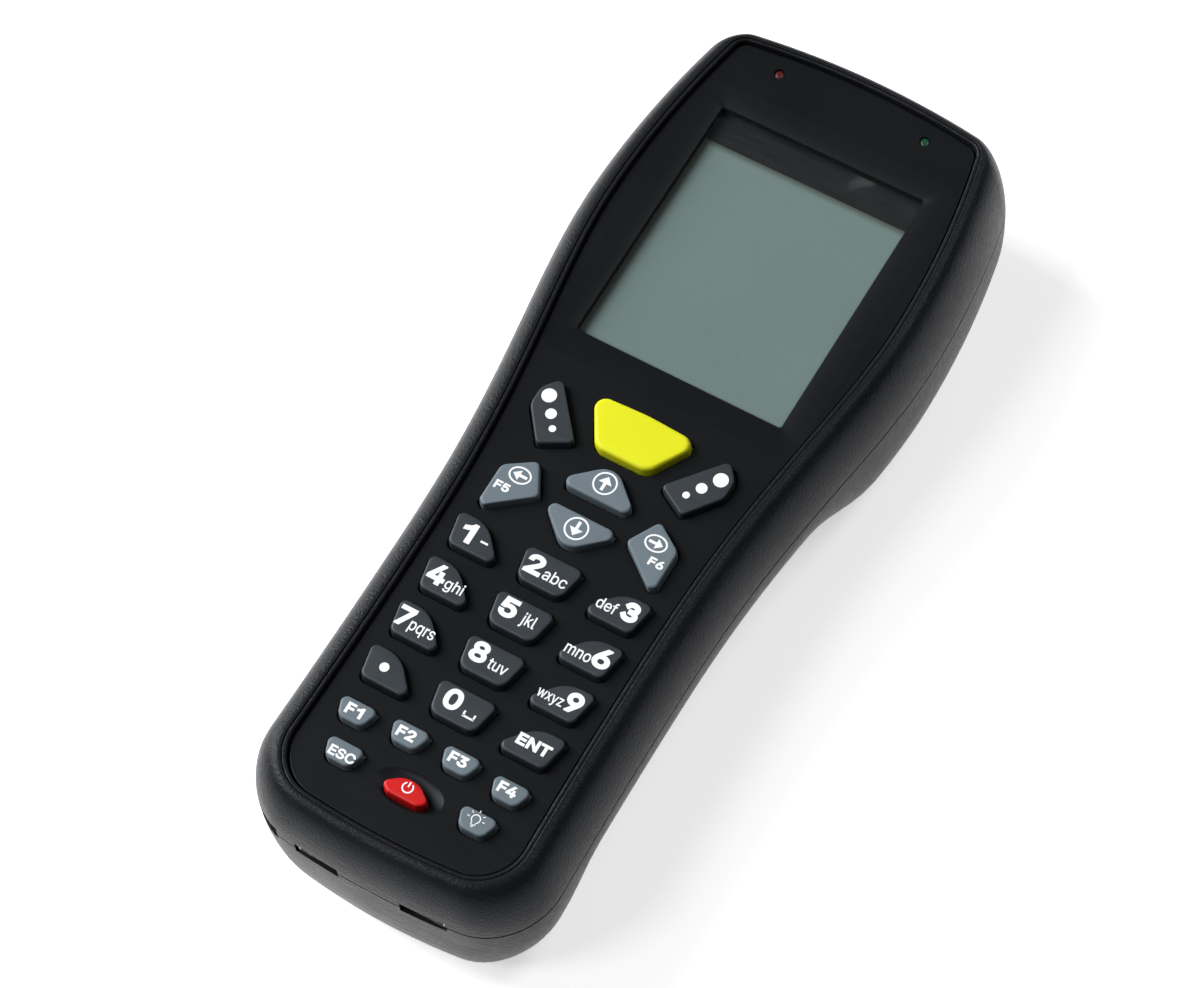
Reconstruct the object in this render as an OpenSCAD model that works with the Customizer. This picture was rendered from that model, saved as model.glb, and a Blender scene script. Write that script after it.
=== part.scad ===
/* [Body outline] */
// Length from the heel end to the head end
body_len = 165.4; // [150:0.2:190]
// Half width of the head at its widest
head_half_w = 33.1; // [31:0.1:36]
// How far the widest line of the head lies ahead of the middle
head_y = 41; // [36:0.5:46]
// Radius of the side of the head beyond its widest line
head_side_r = 150; // [100:1:180]
// Half width of the grip at its waist
waist_half_w = 26.9; // [25.5:0.1:28]
// How far the waist lies behind the middle
waist_back = 34; // [28:0.5:40]
// Extra half width of the heel over the waist
heel_flare = 0.45; // [0:0.05:1.5]
// Radius of the shallow arc across both ends
end_arc_r = 150; // [110:5:300]
// Corner radius of the head, outside
head_corner_r = 6.5; // [4:0.5:9]
// Corner radius of the heel, outside
heel_corner_r = 11.5; // [8:0.5:12.5]

/* [Housing section] */
// Height of the front rim over the surface the terminal lies on
face_z = 34.5; // [33:0.1:38]
// Height of the soft crest of the front rim over its inner edge
crest_h = 0.3; // [0.1:0.05:0.6]
// Width of the front rim beside the faceplate
rim_w = 6; // [5.5:0.1:7]
// Width of the front rim at the head end
rim_head_w = 4.1; // [3.9:0.1:6]
// Width of the front rim at the heel end
rim_heel_w = 5.6; // [5:0.1:7]
// Depth of the parting line under the front rim, at mid length
part_depth = 10.9; // [10.5:0.1:12]
// Fall of the parting line for each millimetre towards the head
part_slope = 0.02; // [0:0.002:0.04]
// Bow of the parting line, which falls towards both ends
part_bow = 0.0003; // [0:0.00005:0.0004]
// Wall thickness of both housings
wall = 2.2; // [1.8:0.1:2.6]
// Height of the arch under the grip
arch_h = 6.5; // [4:0.1:8]
// How far the back draws in at the sides of the head
head_draw = 10; // [8:0.5:12]
// How far the back draws in at the sides of the grip
grip_draw = 12; // [9:0.5:13]
// How far the back draws in at both ends
end_draw = 9; // [7:0.5:10]

/* [Faceplate] */
// Depth of the faceplate under the front rim
plate_drop = 0.7; // [0.4:0.05:1]
// Thickness of the faceplate
plate_t = 2; // [1.8:0.1:2.2]
// Groove between the faceplate and the rim
plate_gap = 0.3; // [0.2:0.05:0.4]
// Corner radius of the faceplate at the head
plate_head_r = 1.5; // [1:0.5:4]
// Corner radius of the faceplate at the heel
plate_heel_r = 7.5; // [5:0.5:9]
// Thickness of the ledge that carries the faceplate
ledge_t = 1.5; // [1.2:0.1:1.8]
// Width of the ledge that carries the faceplate
ledge_w = 1.8; // [1.2:0.1:2.2]

/* [Display] */
// Width of the display opening
window_w = 38.5; // [34:0.5:40]
// Height of the display opening
window_h = 48.2; // [44:0.2:50]
// How far the middle of the display lies ahead of the middle of the body
window_y = 40.2; // [39:0.1:41]
// Thickness of the display window
window_t = 1; // [0.8:0.1:1.2]
// Depth of the dished surround at the display opening
dish_drop = 0.8; // [0.4:0.1:1]
// Width of the dished surround at the sides and top
dish_w = 5; // [4:0.2:5.4]
// Lip over the edge of the display window
window_lip = 1.1; // [0.8:0.1:1.4]
// Thickness of the display glass
glass_t = 1.6; // [1.2:0.1:1.8]
// Wall of the display frame
frame_wall = 1.2; // [0.9:0.1:1.25]
// Radius of the status lamps
led_r = 0.9; // [0.7:0.05:1.1]
// Distance of each status lamp from the centre line
led_x = 14; // [10:0.5:16]
// How far the status lamps lie ahead of the middle
led_y = 74.2; // [73:0.1:75.5]

/* [Keys] */
// Height of the keys over the faceplate
key_h = 1.5; // [1.2:0.1:1.8]
// Key travel
key_travel = 0.8; // [0.5:0.1:0.9]
// Clearance between a key and its hole in the faceplate
key_gap = 0.25; // [0.15:0.05:0.3]
// Thickness of the flange that holds a key under the faceplate
flange_t = 0.8; // [0.6:0.1:0.9]
// Width of the flange that holds a key under the faceplate
flange_w = 0.7; // [0.5:0.05:0.8]
// Radius of the plunger under a key
plunger_r = 1.5; // [1:0.1:1.7]
// Width of a digit key
digit_w = 10.8; // [10:0.1:11.2]
// Height of a digit key
digit_h = 6.2; // [5.8:0.1:6.5]
// Distance between the columns of digit keys
column_x = 12.9; // [12.6:0.1:13.3]
// Distance between the rows of digit keys
row_pitch = 8.93; // [8.6:0.01:9]
// How far the first row of digit keys lies behind the middle
digit_back = 25.6; // [25:0.1:26]
// Width of a function key
function_w = 7.3; // [6.8:0.1:7.5]
// Height of a function key
function_h = 3.9; // [3.6:0.1:4.1]
// Distance between neighbouring function keys
function_pitch = 9.5; // [9.3:0.05:9.7]
// How far the inner function keys lie behind the middle
function_back = 60.6; // [60.4:0.1:60.8]
// How far the outer function keys lie behind the inner ones
function_drop = 0.6; // [0:0.1:0.8]
// Distance of the escape and lamp keys from the centre line
escape_x = 12.35; // [11.5:0.05:13]
// How far the escape and lamp keys lie behind the middle
escape_back = 68.1; // [67.9:0.1:68.3]
// Width of the power key
power_w = 7.6; // [6.5:0.1:8]
// Height of the power key
power_h = 4; // [3.4:0.1:4.2]
// Half width of the hollow round the power key
hollow_w = 6.1; // [5.6:0.1:6.4]
// Half height of the hollow round the power key
hollow_h = 3.2; // [3:0.1:3.4]
// Depth of the hollow round the power key
hollow_drop = 0.5; // [0.3:0.05:0.7]
// Width of an arrow key across its base
arrow_w = 15.8; // [14:0.1:16]
// Height of an arrow key before its point is rounded
arrow_h = 7.2; // [6.6:0.1:7.4]
// How far the up key lies behind the middle
up_back = 7; // [6.9:0.1:7.1]
// How far the down key lies behind the middle
down_back = 17.5; // [17.4:0.1:17.6]
// Distance of each side cursor key from the centre line
cursor_x = 12.4; // [12.2:0.1:12.8]
// How far the side cursor keys lie behind the middle
cursor_back = 14.5; // [14.2:0.1:14.7]
// Width of a side cursor key
cursor_w = 8.6; // [8:0.1:8.8]
// Height of a side cursor key
cursor_h = 11.4; // [10.5:0.1:11.5]
// Distance of each dotted key from the centre line
dotted_x = 13.2; // [13:0.1:13.6]
// Width of a dotted key
dotted_w = 10.4; // [9.6:0.1:10.6]
// Height of a dotted key
dotted_h = 12.5; // [11.5:0.1:12.8]
// Width of the scan key across its top
scan_w = 20.4; // [18:0.1:21]
// Height of the scan key
scan_h = 8.8; // [8:0.1:9.2]
// How far the middle of the scan key lies ahead of the middle
scan_y = 2; // [1.8:0.1:2.2]

/* [Electronics] */
// Thickness of the main board
board_t = 1.2; // [1:0.1:1.6]
// Distance from the outside of the body to the edge of the main board
board_inset = 5; // [4.6:0.1:5.4]
// Thickness of the keypad mat
mat_t = 1.1; // [0.9:0.1:1.2]
// Height of the metal domes under the keys
dome_h = 0.3; // [0.2:0.05:0.4]
// Width of a socket at the heel
socket_w = 7.4; // [7:0.1:7.8]
// Height of a socket at the heel
socket_h = 2.6; // [2.4:0.1:2.8]
// Length of a socket at the heel
socket_len = 8.4; // [7:0.1:9]
// Distance of each socket from the centre line
socket_x = 10; // [8:0.05:11]
// Width of a socket opening in the housings
port_w = 8.4; // [8:0.1:9]
// Height of a socket opening in the housings
port_h = 2.8; // [2.6:0.1:3.2]
// Distance of the strap slot from the centre line
strap_x = 20.4; // [19.8:0.1:20.8]
// Width of the strap slot
strap_slot_w = 5; // [4.4:0.1:5.2]
// Height of the strap slot
strap_slot_h = 4; // [3.4:0.1:4.4]
// Radius of the strap post
strap_post_r = 0.8; // [0.6:0.05:0.9]

/* [Scanner] */
// Width of the scan opening at the head end
scan_open_w = 28; // [24:0.5:30]
// Height of the scan opening at the head end
scan_open_h = 10; // [8:0.1:10.5]
// Height of the middle of the scan opening
scan_open_z = 13.4; // [13:0.1:13.6]
// Thickness of the scan window
scan_pane_t = 1.2; // [1:0.1:1.5]
// Width of the scan engine
engine_w = 22; // [18:0.5:24]
// Length of the scan engine
engine_len = 16; // [12:0.5:17]
// Height of the scan engine
engine_h = 11.4; // [10:0.1:11.8]

/* [Battery] */
// Width of the battery lid
lid_w = 34; // [32:0.5:35]
// Length of the battery lid
lid_len = 56; // [50:0.5:58]
// How far the hinge of the battery lid lies behind the middle
hinge_back = 52; // [50:0.5:53]
// Radius of the hinge pin
pin_r = 0.75; // [0.6:0.05:0.8]
// Radius of the barrel round the hinge pin
barrel_r = 1.3; // [1.2:0.05:1.4]
// Thickness of the battery lid
lid_t = 2; // [1.6:0.1:2.2]
// Gap round the battery lid
lid_gap = 0.3; // [0.2:0.05:0.4]
// Height of the battery pack
pack_h = 9.6; // [8:0.1:10]
// Wall of the battery bay
bay_wall = 1.2; // [1:0.1:1.5]

/* [Fasteners] */
// Radius of a screw shank
screw_r = 1.1; // [0.9:0.05:1.3]
// Radius of a screw head
screw_head_r = 2.2; // [1.9:0.05:2.5]
// Height of a screw head
screw_head_h = 1.6; // [1.2:0.1:2]
// Radius of a screw post
post_r = 2.4; // [2.1:0.1:2.7]

/* [Hidden] */

// Clearances: running fit of the lid on its pin, seat between fixed round pieces,
// overlap that lets a cut pass right through a face
run_fit = 0.05;
seat_fit = 0.02;
cut = 0.5;

half_len = body_len / 2;
waist_y = -waist_back;
plate_top = face_z - plate_drop;
plate_bottom = plate_top - plate_t;
ledge_bottom = plate_bottom - ledge_t;
key_top = plate_top + key_h;
flange_bottom = plate_bottom - flange_t;
mat_gap = 0.1;
mat_top = flange_bottom - key_travel - mat_gap;
mat_bottom = mat_top - mat_t;
socket_z = part_z(-half_len);
board_bottom = socket_z + socket_h / 2;
board_top = board_bottom + board_t;
plunger_gap = 0.1;
plunger_bottom = board_top + dome_h + key_travel + plunger_gap;

// ---------------------------------------------------------------- outline

function clamp01(t) = max(0, min(1, t));
function smooth(t) = t * t * (3 - 2 * t);
function step_up(a, b, v) = smooth(clamp01((v - a) / (b - a)));

// The flank from waist to head swings out late, which this power gives
flank_power = 1.4;

// Half width of the body at y
function half_w(y) =
    y > head_y ? head_half_w - pow(y - head_y, 2) / (2 * head_side_r)
    : y > waist_y ? waist_half_w + (head_half_w - waist_half_w)
        * smooth(pow((y - waist_y) / (head_y - waist_y), flank_power))
    : waist_half_w + heel_flare * pow((waist_y - y) / waist_back, 2);

// Point on a rounded corner: angle a is 0 on the side and 90 on the end.
// dir is 1 at the head and -1 at the heel; each pass brings y closer.
function corner(dir, reach, side, r, a, y, n = 5) =
    let (x = half_w(y) - side - r * (1 - cos(a)))
    n == 0 ? [x, y]
    : corner(dir, reach, side, r, a,
        dir * (reach - x * x / (2 * end_arc_r) - r * (1 - sin(a))), n - 1);

quarter = 90;
end_steps = 4;
corner_steps = 5;
side_steps = 13;

// Half of an outline, from the middle of the heel round to the middle of the head
function half_outline(side, head_in, heel_in, head_r, heel_r) =
    let (
        top = half_len - head_in,
        low = half_len - heel_in,
        heel_pt = [for (i = [0:corner_steps])
            corner(-1, low, side, heel_r, quarter - quarter * i / corner_steps, -low)],
        head_pt = [for (i = [0:corner_steps])
            corner(1, top, side, head_r, quarter * i / corner_steps, top)],
        y0 = heel_pt[corner_steps][1],
        y1 = head_pt[0][1],
        x_heel = heel_pt[0][0],
        x_head = head_pt[corner_steps][0]
    )
    concat(
        [for (i = [0:end_steps - 1]) let (x = x_heel * i / end_steps)
            [x, x * x / (2 * end_arc_r) - low]],
        heel_pt,
        [for (i = [1:side_steps - 1]) let (y = y0 + (y1 - y0) * i / side_steps)
            [half_w(y) - side, y]],
        head_pt,
        [for (i = [1:end_steps]) let (x = x_head * (1 - i / end_steps))
            [x, top - x * x / (2 * end_arc_r)]]
    );

function mirrored(half) =
    let (n = len(half))
    concat(half, [for (i = [n - 2:-1:1]) [-half[i][0], half[i][1]]]);

// Outline of a face that lies a share u of the rim in from the outside
function rim_outline(u, extra = 0) =
    mirrored(half_outline(
        rim_w * u + extra, rim_head_w * u + extra, rim_heel_w * u + extra,
        max(0.5, head_corner_r + (plate_head_r - head_corner_r) * u - extra / 2),
        max(0.5, heel_corner_r + (plate_heel_r - heel_corner_r) * u - extra / 2)));

// ---------------------------------------------------------------- lofted shells

function part_z(y) = face_z - part_depth - part_slope * y - part_bow * y * y;

// The back rests on the heel and the head and arches clear of a table between them
heel_foot_y = -66;
grip_low_y = -56;
grip_high_y = 8;
head_foot_y = 27;
function back_z(y) = arch_h * (step_up(heel_foot_y, grip_low_y, y) - step_up(grip_high_y, head_foot_y, y));

// Rings run from the heel round by the right side to the head and back by the left
module loft(rings) {
    n = len(rings[0]);
    m = len(rings);
    half = n / 2;
    polyhedron(
        points = [for (r = rings) for (p = r) p],
        faces = concat(
            [for (j = [0:m - 2]) for (i = [0:n - 1]) let (k = (i + 1) % n)
                [j * n + i, (j + 1) * n + i, (j + 1) * n + k, j * n + k]],
            [for (i = [0:half - 1])
                i == 0 ? [0, 1, n - 1]
                : i == half - 1 ? [i, half, n - i]
                : [i, i + 1, n - i - 1, n - i]],
            [for (i = [0:half - 1]) let (b = (m - 1) * n)
                i == 0 ? [b, b + n - 1, b + 1]
                : i == half - 1 ? [b + i, b + n - i, b + half]
                : [b + i, b + n - i, b + n - i - 1, b + i + 1]]),
        convexity = 6);
}

crest_share = 0.82;
crest_z = face_z + crest_h;
front_angles = [0, 16, 32, 47, 60, 71, 81, 90];

// Ring of the front shell: a quarter ellipse leads from the parting line up to the crest
function front_ring(a, extra) =
    [for (p = rim_outline(crest_share * (1 - cos(a)), extra))
        let (z0 = part_z(p[1]))
        [p[0], p[1], z0 + (crest_z - extra - z0) * sin(a)]];

// Ring on the parting line, lowered by d
function part_ring(inset, d) = [for (p = rim_outline(0, inset)) [p[0], p[1], part_z(p[1]) - d]];

module front_solid() {
    loft(concat(
        [for (a = front_angles) front_ring(a, 0)],
        [[for (p = rim_outline((1 + crest_share) / 2)) [p[0], p[1], crest_z - crest_h / 4]],
         [for (p = rim_outline(1.15)) [p[0], p[1], face_z - crest_h / 2]]]));
}

// Room inside the front shell, up to the ledge that carries the faceplate
module front_room() {
    intersection() {
        loft(concat([part_ring(wall, cut)], [for (a = [20, 40, 60, 78]) front_ring(a, wall)]));
        centred_box(body_len, body_len, 0, ledge_bottom);
    }
}

head_power = 3;
grip_power = 2.1;
back_shares = [1, 0.975, 0.92, 0.84, 0.72, 0.56, 0.36];

// Draw of the back at height share w, growing from 0 at the parting line
function drawn(w, power) = 1 - pow(1 - pow(w, power), 1 / power);

function back_ring(w, extra) =
    let (
        outer = mirrored(half_outline(extra,
            end_draw * drawn(w, head_power) + extra, end_draw * drawn(w, head_power) + extra,
            head_corner_r + 2 * w, heel_corner_r))
    )
    [for (p = outer)
        let (
            y = p[1],
            hold = step_up(grip_high_y, head_foot_y, y),
            power = grip_power + (head_power - grip_power) * hold,
            draw = grip_draw + (head_draw - grip_draw) * hold,
            x = p[0] * (1 - draw * drawn(w, power) / half_w(y)),
            z0 = part_z(y),
            z1 = back_z(y) + extra
        )
        [x, y, z0 + (z1 - z0) * w]];

// Rear shell, solid, from the back up to the parting line
module rear_solid() {
    loft([for (w = concat(back_shares, [0])) back_ring(w, 0)]);
}

// Room inside the rear shell, open at the parting line
module rear_room(skin) {
    loft(concat([for (w = back_shares) back_ring(w, skin)], [part_ring(skin, -cut)]));
}

// Groove for the seal, along the parting line
module seal_band(above) {
    difference() {
        loft([part_ring(seal_in, seal_t), part_ring(seal_in, -above)]);
        loft([part_ring(seal_in + seal_w, seal_t + cut), part_ring(seal_in + seal_w, -above - cut)]);
    }
}

module slab(outline, z0, z1) {
    translate([0, 0, z0]) linear_extrude(z1 - z0) polygon(outline);
}

module centred_box(w, l, z0, z1) {
    translate([-w / 2, -l / 2, z0]) cube([w, l, z1 - z0]);
}

module block(w, y0, y1, z0, z1) {
    translate([-w / 2, y0, z0]) cube([w, y1 - y0, z1 - z0]);
}

module both_sides(x) {
    for (s = [-1, 1]) translate([s * x, 0, 0]) children();
}

module rounded_slab(w, l, r, z0, z1) {
    translate([0, 0, z0]) linear_extrude(z1 - z0) polygon(rounded([
        [-w / 2, -l / 2, r], [w / 2, -l / 2, r], [w / 2, l / 2, r], [-w / 2, l / 2, r]]));
}

// ---------------------------------------------------------------- key shapes

round_steps = 4;

// Polygon with rounded corners, from [x, y, radius] corners in anticlockwise order
function rounded(c) =
    let (n = len(c))
    [for (i = [0:n - 1])
        let (
            p = [c[i][0], c[i][1]],
            before = [c[(i + n - 1) % n][0], c[(i + n - 1) % n][1]] - p,
            after = [c[(i + 1) % n][0], c[(i + 1) % n][1]] - p,
            u = before / norm(before),
            v = after / norm(after),
            half = acos(u * v) / 2,
            mid = p + (u + v) / norm(u + v) * c[i][2] / sin(half),
            a0 = p + u * c[i][2] / tan(half) - mid,
            a1 = p + v * c[i][2] / tan(half) - mid,
            t0 = atan2(a0[1], a0[0]),
            turn = (atan2(a1[1], a1[0]) - t0 + 720) % 360,
            sweep = turn > 180 ? turn - 360 : turn
        )
        for (k = [0:round_steps])
            mid + c[i][2] * [cos(t0 + sweep * k / round_steps), sin(t0 + sweep * k / round_steps)]];

function flip(c) = [for (i = [len(c) - 1:-1:0]) [-c[i][0], c[i][1], c[i][2]]];
function at(c, x, y) = [for (p = c) [p[0] + x, p[1] + y, p[2]]];

leaf_key = [
    [-digit_w * 0.39, -digit_h / 2, 1.3], [digit_w / 2, -digit_h / 2, 1.1],
    [digit_w * 0.01, digit_h / 2, 6], [-digit_w / 2, digit_h / 2, 1.1]];
middle_key = [
    [-digit_w * 0.39, -digit_h / 2, 1.9], [digit_w * 0.39, -digit_h / 2, 1.9],
    [digit_w / 2, digit_h / 2, 1.2], [-digit_w / 2, digit_h / 2, 1.2]];
function_key = [
    [-function_w * 0.31, -function_h / 2, 1.6], [function_w * 0.31, -function_h / 2, 1.6],
    [function_w / 2, function_h / 2, 1.1], [-function_w / 2, function_h / 2, 1.1]];
up_key = [[-arrow_w / 2, -arrow_h / 2, 1.2], [arrow_w / 2, -arrow_h / 2, 1.2], [0, arrow_h / 2, 3.4]];
down_key = [[0, -arrow_h / 2, 3.4], [arrow_w / 2, arrow_h / 2, 1.2], [-arrow_w / 2, arrow_h / 2, 1.2]];
cursor_key = [
    [-cursor_w / 2, -cursor_h * 0.43, 0.8], [-cursor_w * 0.37, -cursor_h / 2, 0.6],
    [cursor_w / 2, 0, 1], [cursor_w * 0.12, cursor_h / 2, 0.9], [-cursor_w / 2, cursor_h * 0.2, 1.8]];
dotted_key = [
    [-dotted_w * 0.045, -dotted_h / 2, 0.8], [dotted_w / 2, -dotted_h * 0.25, 0.8],
    [-dotted_w * 0.26, dotted_h / 2, 1], [-dotted_w / 2, dotted_h * 0.27, 3],
    [-dotted_w / 2, -dotted_h * 0.02, 3]];
scan_shape = [
    [-scan_w * 0.245, -scan_h / 2, 3], [scan_w * 0.245, -scan_h / 2, 3],
    [scan_w / 2, scan_h / 2, 1.9], [0, scan_h * 0.56, 30], [-scan_w / 2, scan_h / 2, 1.9]];
power_shape = [
    [-power_w * 0.36, -power_h / 2, 0.8], [power_w * 0.36, -power_h / 2, 0.8],
    [power_w * 0.6, -power_h * 0.18, 0.9], [0, power_h * 0.72, 4.2], [-power_w * 0.6, -power_h * 0.18, 0.9]];

function row_y(n) = -digit_back - row_pitch * n;
function function_x(n) = function_pitch * (n - 1.5);
function function_y(n) = -function_back - (n == 0 || n == 3 ? function_drop : 0);

scan_key_at = at(scan_shape, 0, scan_y);
dotted_y = -0.2;
dotted_left_at = at(dotted_key, -dotted_x, dotted_y);
up_at = at(up_key, 0, -up_back);
down_at = at(down_key, 0, -down_back);
cursor_left_at = at(cursor_key, -cursor_x, -cursor_back);
function leaf_at(n) = at(leaf_key, -column_x, row_y(n));
function middle_at(n) = at(middle_key, 0, row_y(n));
function function_at(n) = at(function_key, function_x(n), function_y(n));
escape_at = at(function_key, -escape_x, -escape_back);
power_back = escape_back + 0.4;
power_at = at(power_shape, 0, -power_back);

all_keys = concat(
    [scan_key_at, dotted_left_at, flip(dotted_left_at), up_at, down_at, cursor_left_at, flip(cursor_left_at)],
    [for (n = [0:3]) leaf_at(n)], [for (n = [0:3]) middle_at(n)], [for (n = [0:3]) flip(leaf_at(n))],
    [for (n = [0:3]) function_at(n)], [escape_at, flip(escape_at), power_at]);

function low(v) = min(v);
function high(v) = max(v);
function key_box(pts) =
    let (xs = [for (p = pts) p[0]], ys = [for (p = pts) p[1]])
    [(low(xs) + high(xs)) / 2, (low(ys) + high(ys)) / 2, (high(xs) - low(xs)) / 2, (high(ys) - low(ys)) / 2];
function key_centre(c) = let (b = key_box(rounded(c))) [b[0], b[1]];

// The same polygon grown by d on each side, or drawn in where d is negative
function grown(pts, d) =
    let (b = key_box(pts))
    [for (p = pts) [b[0] + (p[0] - b[0]) * (b[2] + d) / b[2], b[1] + (p[1] - b[1]) * (b[3] + d) / b[3]]];

// Solid between stacked rings of one polygon: each level is [z, growth]
module stacked(pts, levels) {
    n = len(pts);
    m = len(levels);
    polyhedron(
        points = [for (l = levels) for (p = grown(pts, l[1])) [p[0], p[1], l[0]]],
        faces = concat(
            [[for (i = [0:n - 1]) i]],
            [for (j = [0:m - 2]) for (i = [0:n - 1]) let (k = (i + 1) % n)
                [j * n + i, (j + 1) * n + i, (j + 1) * n + k, j * n + k]],
            [[for (i = [n - 1:-1:0]) (m - 1) * n + i]]));
}

key_edge = 0.35;

module key(corners, lift = 0) {
    pts = rounded(corners);
    mid = key_centre(corners);
    top = key_top + lift;
    stacked(pts, [
        [plate_bottom, 0], [plate_top, 0], [top - key_edge, -key_edge],
        [top - key_edge / 3, -key_edge * 1.5], [top, -key_edge * 2.4]]);
    slab(grown(pts, flange_w), flange_bottom, plate_bottom);
    translate(mid) drill(plunger_r, plunger_bottom, flange_bottom + flange_t / 2);
}

// ---------------------------------------------------------------- screws and posts

post_inset = 7;
heel_post_in = 13;
head_post_in = 9;
housing_post_y = [heel_post_in - half_len, half_len - head_post_in];
board_post_y = 8;
function post_x(y) = half_w(y) - post_inset;
screw_reach = 2.4;
head_seat_z = 9;

module at_housing_posts() {
    for (y = housing_post_y) translate([0, y, 0]) both_sides(post_x(y)) children();
}

module at_board_posts() {
    translate([0, board_post_y, 0]) both_sides(post_x(board_post_y)) children();
}

module drill(r, z0, z1) {
    translate([0, 0, z0]) cylinder(h = z1 - z0, r = r, $fn = 32);
}

module screw(seat, tip) {
    drill(screw_head_r, seat - screw_head_h, seat);
    drill(screw_r, seat, tip);
}

// ---------------------------------------------------------------- housings

module socket_openings() {
    translate([0, -half_len, 0]) both_sides(socket_x)
        centred_box(port_w, 4 * wall, socket_z - port_h / 2, socket_z + port_h / 2);
}

// Slot in the heel for a wrist strap, with a post behind it that both housings hold
strap_in = 3.6;
strap_y = strap_in - half_len;
strap_boss_r = 1.9;
strap_seat = 2;
strap_low = socket_z - strap_slot_h / 2;
strap_high = socket_z + strap_slot_h / 2;
module strap_slot() {
    translate([-strap_x, -half_len, 0]) centred_box(strap_slot_w, 6 * wall, strap_low, strap_high);
}
module at_strap() {
    translate([-strap_x, strap_y, 0]) children();
}

// Room for the display frame, which meets the ledge only where the head is narrow
module frame_space() {
    translate([0, window_y, 0])
        centred_box(frame_w + 2 * frame_gap, frame_h + 2 * frame_gap, board_top, plate_bottom + cut);
}

front_colour = [0.13, 0.135, 0.145];
module front_housing() color(front_colour) {
    difference() {
        union() {
            difference() {
                front_solid();
                front_room();
                slab(rim_outline(1), plate_bottom, crest_z + cut);
                slab(rim_outline(1, ledge_w), ledge_bottom - cut, plate_bottom + cut);
                socket_openings();
                strap_slot();
                frame_space();
            }
            at_strap() drill(strap_boss_r, strap_high, ledge_bottom + ledge_t / 2);
            at_housing_posts() drill(post_r, board_top, ledge_bottom + ledge_t / 2);
            at_board_posts() drill(post_r, board_top, ledge_bottom + ledge_t / 2);
        }
        at_housing_posts() drill(screw_r + seat_fit, board_top - cut, board_top + screw_reach);
        at_board_posts() drill(screw_r + seat_fit, board_top - cut, board_top + screw_reach);
        at_strap() drill(strap_post_r + seat_fit, strap_high - cut, strap_high + strap_seat);
    }
}

hinge_y = -hinge_back;
lid_end_y = hinge_y + lid_len;
hinge_z = arch_h + barrel_r + 0.1;
hinge_relief = barrel_r + 2 * lid_gap;
ear_x0 = 11.3;
ear_w = 3;
barrel_half = ear_x0 - 0.2;
bay_in_w = lid_w - 2 * bay_wall;
bay_out_w = lid_w + 2 * (lid_gap + bay_wall);
lid_room_z = arch_h + lid_t + 1;
bay_y0 = hinge_y + 3;
bay_y1 = lid_end_y - 2.5;
bay_ceiling = arch_h + lid_t + lid_gap + pack_h + 0.4;

seal_in = 0.7;
seal_w = 0.8;
seal_t = 1;

pane_w = scan_open_w + 3;
pane_h = scan_open_h + 2.4;
pane_y = half_len - wall - 1.1;
pane_back = pane_y - scan_pane_t;

engine_in = 9;
engine_y1 = half_len - engine_in;
engine_y0 = engine_y1 - engine_len;
bracket_z = 6;
bracket_t = 1;
bracket_post_x = 13.4;
bracket_back_in = 2.5;
bracket_front_in = 4;
bracket_post_y = [engine_y0 + bracket_back_in, engine_y1 - bracket_front_in];

// Posts, the frame of the scan window and the battery bay, which stand in the rear shell
module rear_supports() {
    at_housing_posts() drill(post_r + screw_head_r / 2, -cut, face_z);
    for (y = bracket_post_y) translate([0, y, 0]) both_sides(bracket_post_x)
        drill(post_r, -cut, bracket_z);
    translate([0, (pane_back + half_len) / 2, 0])
        centred_box(pane_w + 3, half_len - pane_back, -cut, scan_open_z + pane_h / 2 + 0.6);
    block(bay_out_w, bay_y0 - bay_wall, lid_end_y + lid_gap + bay_wall, -cut, bay_ceiling + bay_wall);
    block(bay_out_w, hinge_y - hinge_relief - bay_wall, bay_y0, -cut, lid_room_z + bay_wall);
    at_strap() drill(strap_boss_r, -cut, strap_low - 0.01);
}

module hinge_ears() {
    translate([0, hinge_y, 0]) both_sides(ear_x0 + ear_w / 2)
        centred_box(ear_w, 2 * hinge_relief + 1, arch_h, hinge_z + barrel_r);
}

module lid_opening() {
    translate([-lid_w / 2 - lid_gap, hinge_y - hinge_relief, -cut])
        cube([lid_w + 2 * lid_gap, lid_len + hinge_relief + lid_gap, lid_room_z + cut]);
}

rear_colour = [0.15, 0.155, 0.165];
module rear_housing() color(rear_colour) {
    difference() {
        union() {
            difference() {
                rear_solid();
                difference() {
                    rear_room(wall);
                    rear_supports();
                }
                lid_opening();
            }
            at_housing_posts() drill(post_r, head_seat_z, board_bottom);
            hinge_ears();
        }
        block(bay_in_w, bay_y0, bay_y1, -cut, bay_ceiling);
        translate([-ear_x0 - ear_w - cut, hinge_y, hinge_z]) rotate([0, 90, 0])
            cylinder(h = 2 * (ear_x0 + ear_w + cut), r = pin_r + seat_fit, $fn = 24);
        at_housing_posts() {
            drill(screw_head_r + 0.3, -cut, head_seat_z);
            drill(screw_r + 0.2, head_seat_z - cut, board_bottom + cut);
        }
        for (y = bracket_post_y) translate([0, y, 0]) both_sides(bracket_post_x)
            drill(screw_r + seat_fit, wall, bracket_z + cut);
        translate([0, half_len, 0])
            centred_box(scan_open_w, 6 * wall, scan_open_z - scan_open_h / 2, scan_open_z + scan_open_h / 2);
        translate([0, pane_y - wall, 0])
            centred_box(pane_w, 2 * wall, scan_open_z - pane_h / 2, scan_open_z + pane_h / 2);
        socket_openings();
        strap_slot();
        at_strap() drill(strap_post_r + seat_fit, strap_low - strap_seat, strap_low + cut);
        seal_band(cut);
    }
}

module housing_seal() color([0.06, 0.06, 0.06])
    difference() {
        seal_band(-seat_fit);
        socket_openings();
        strap_slot();
    }

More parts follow.
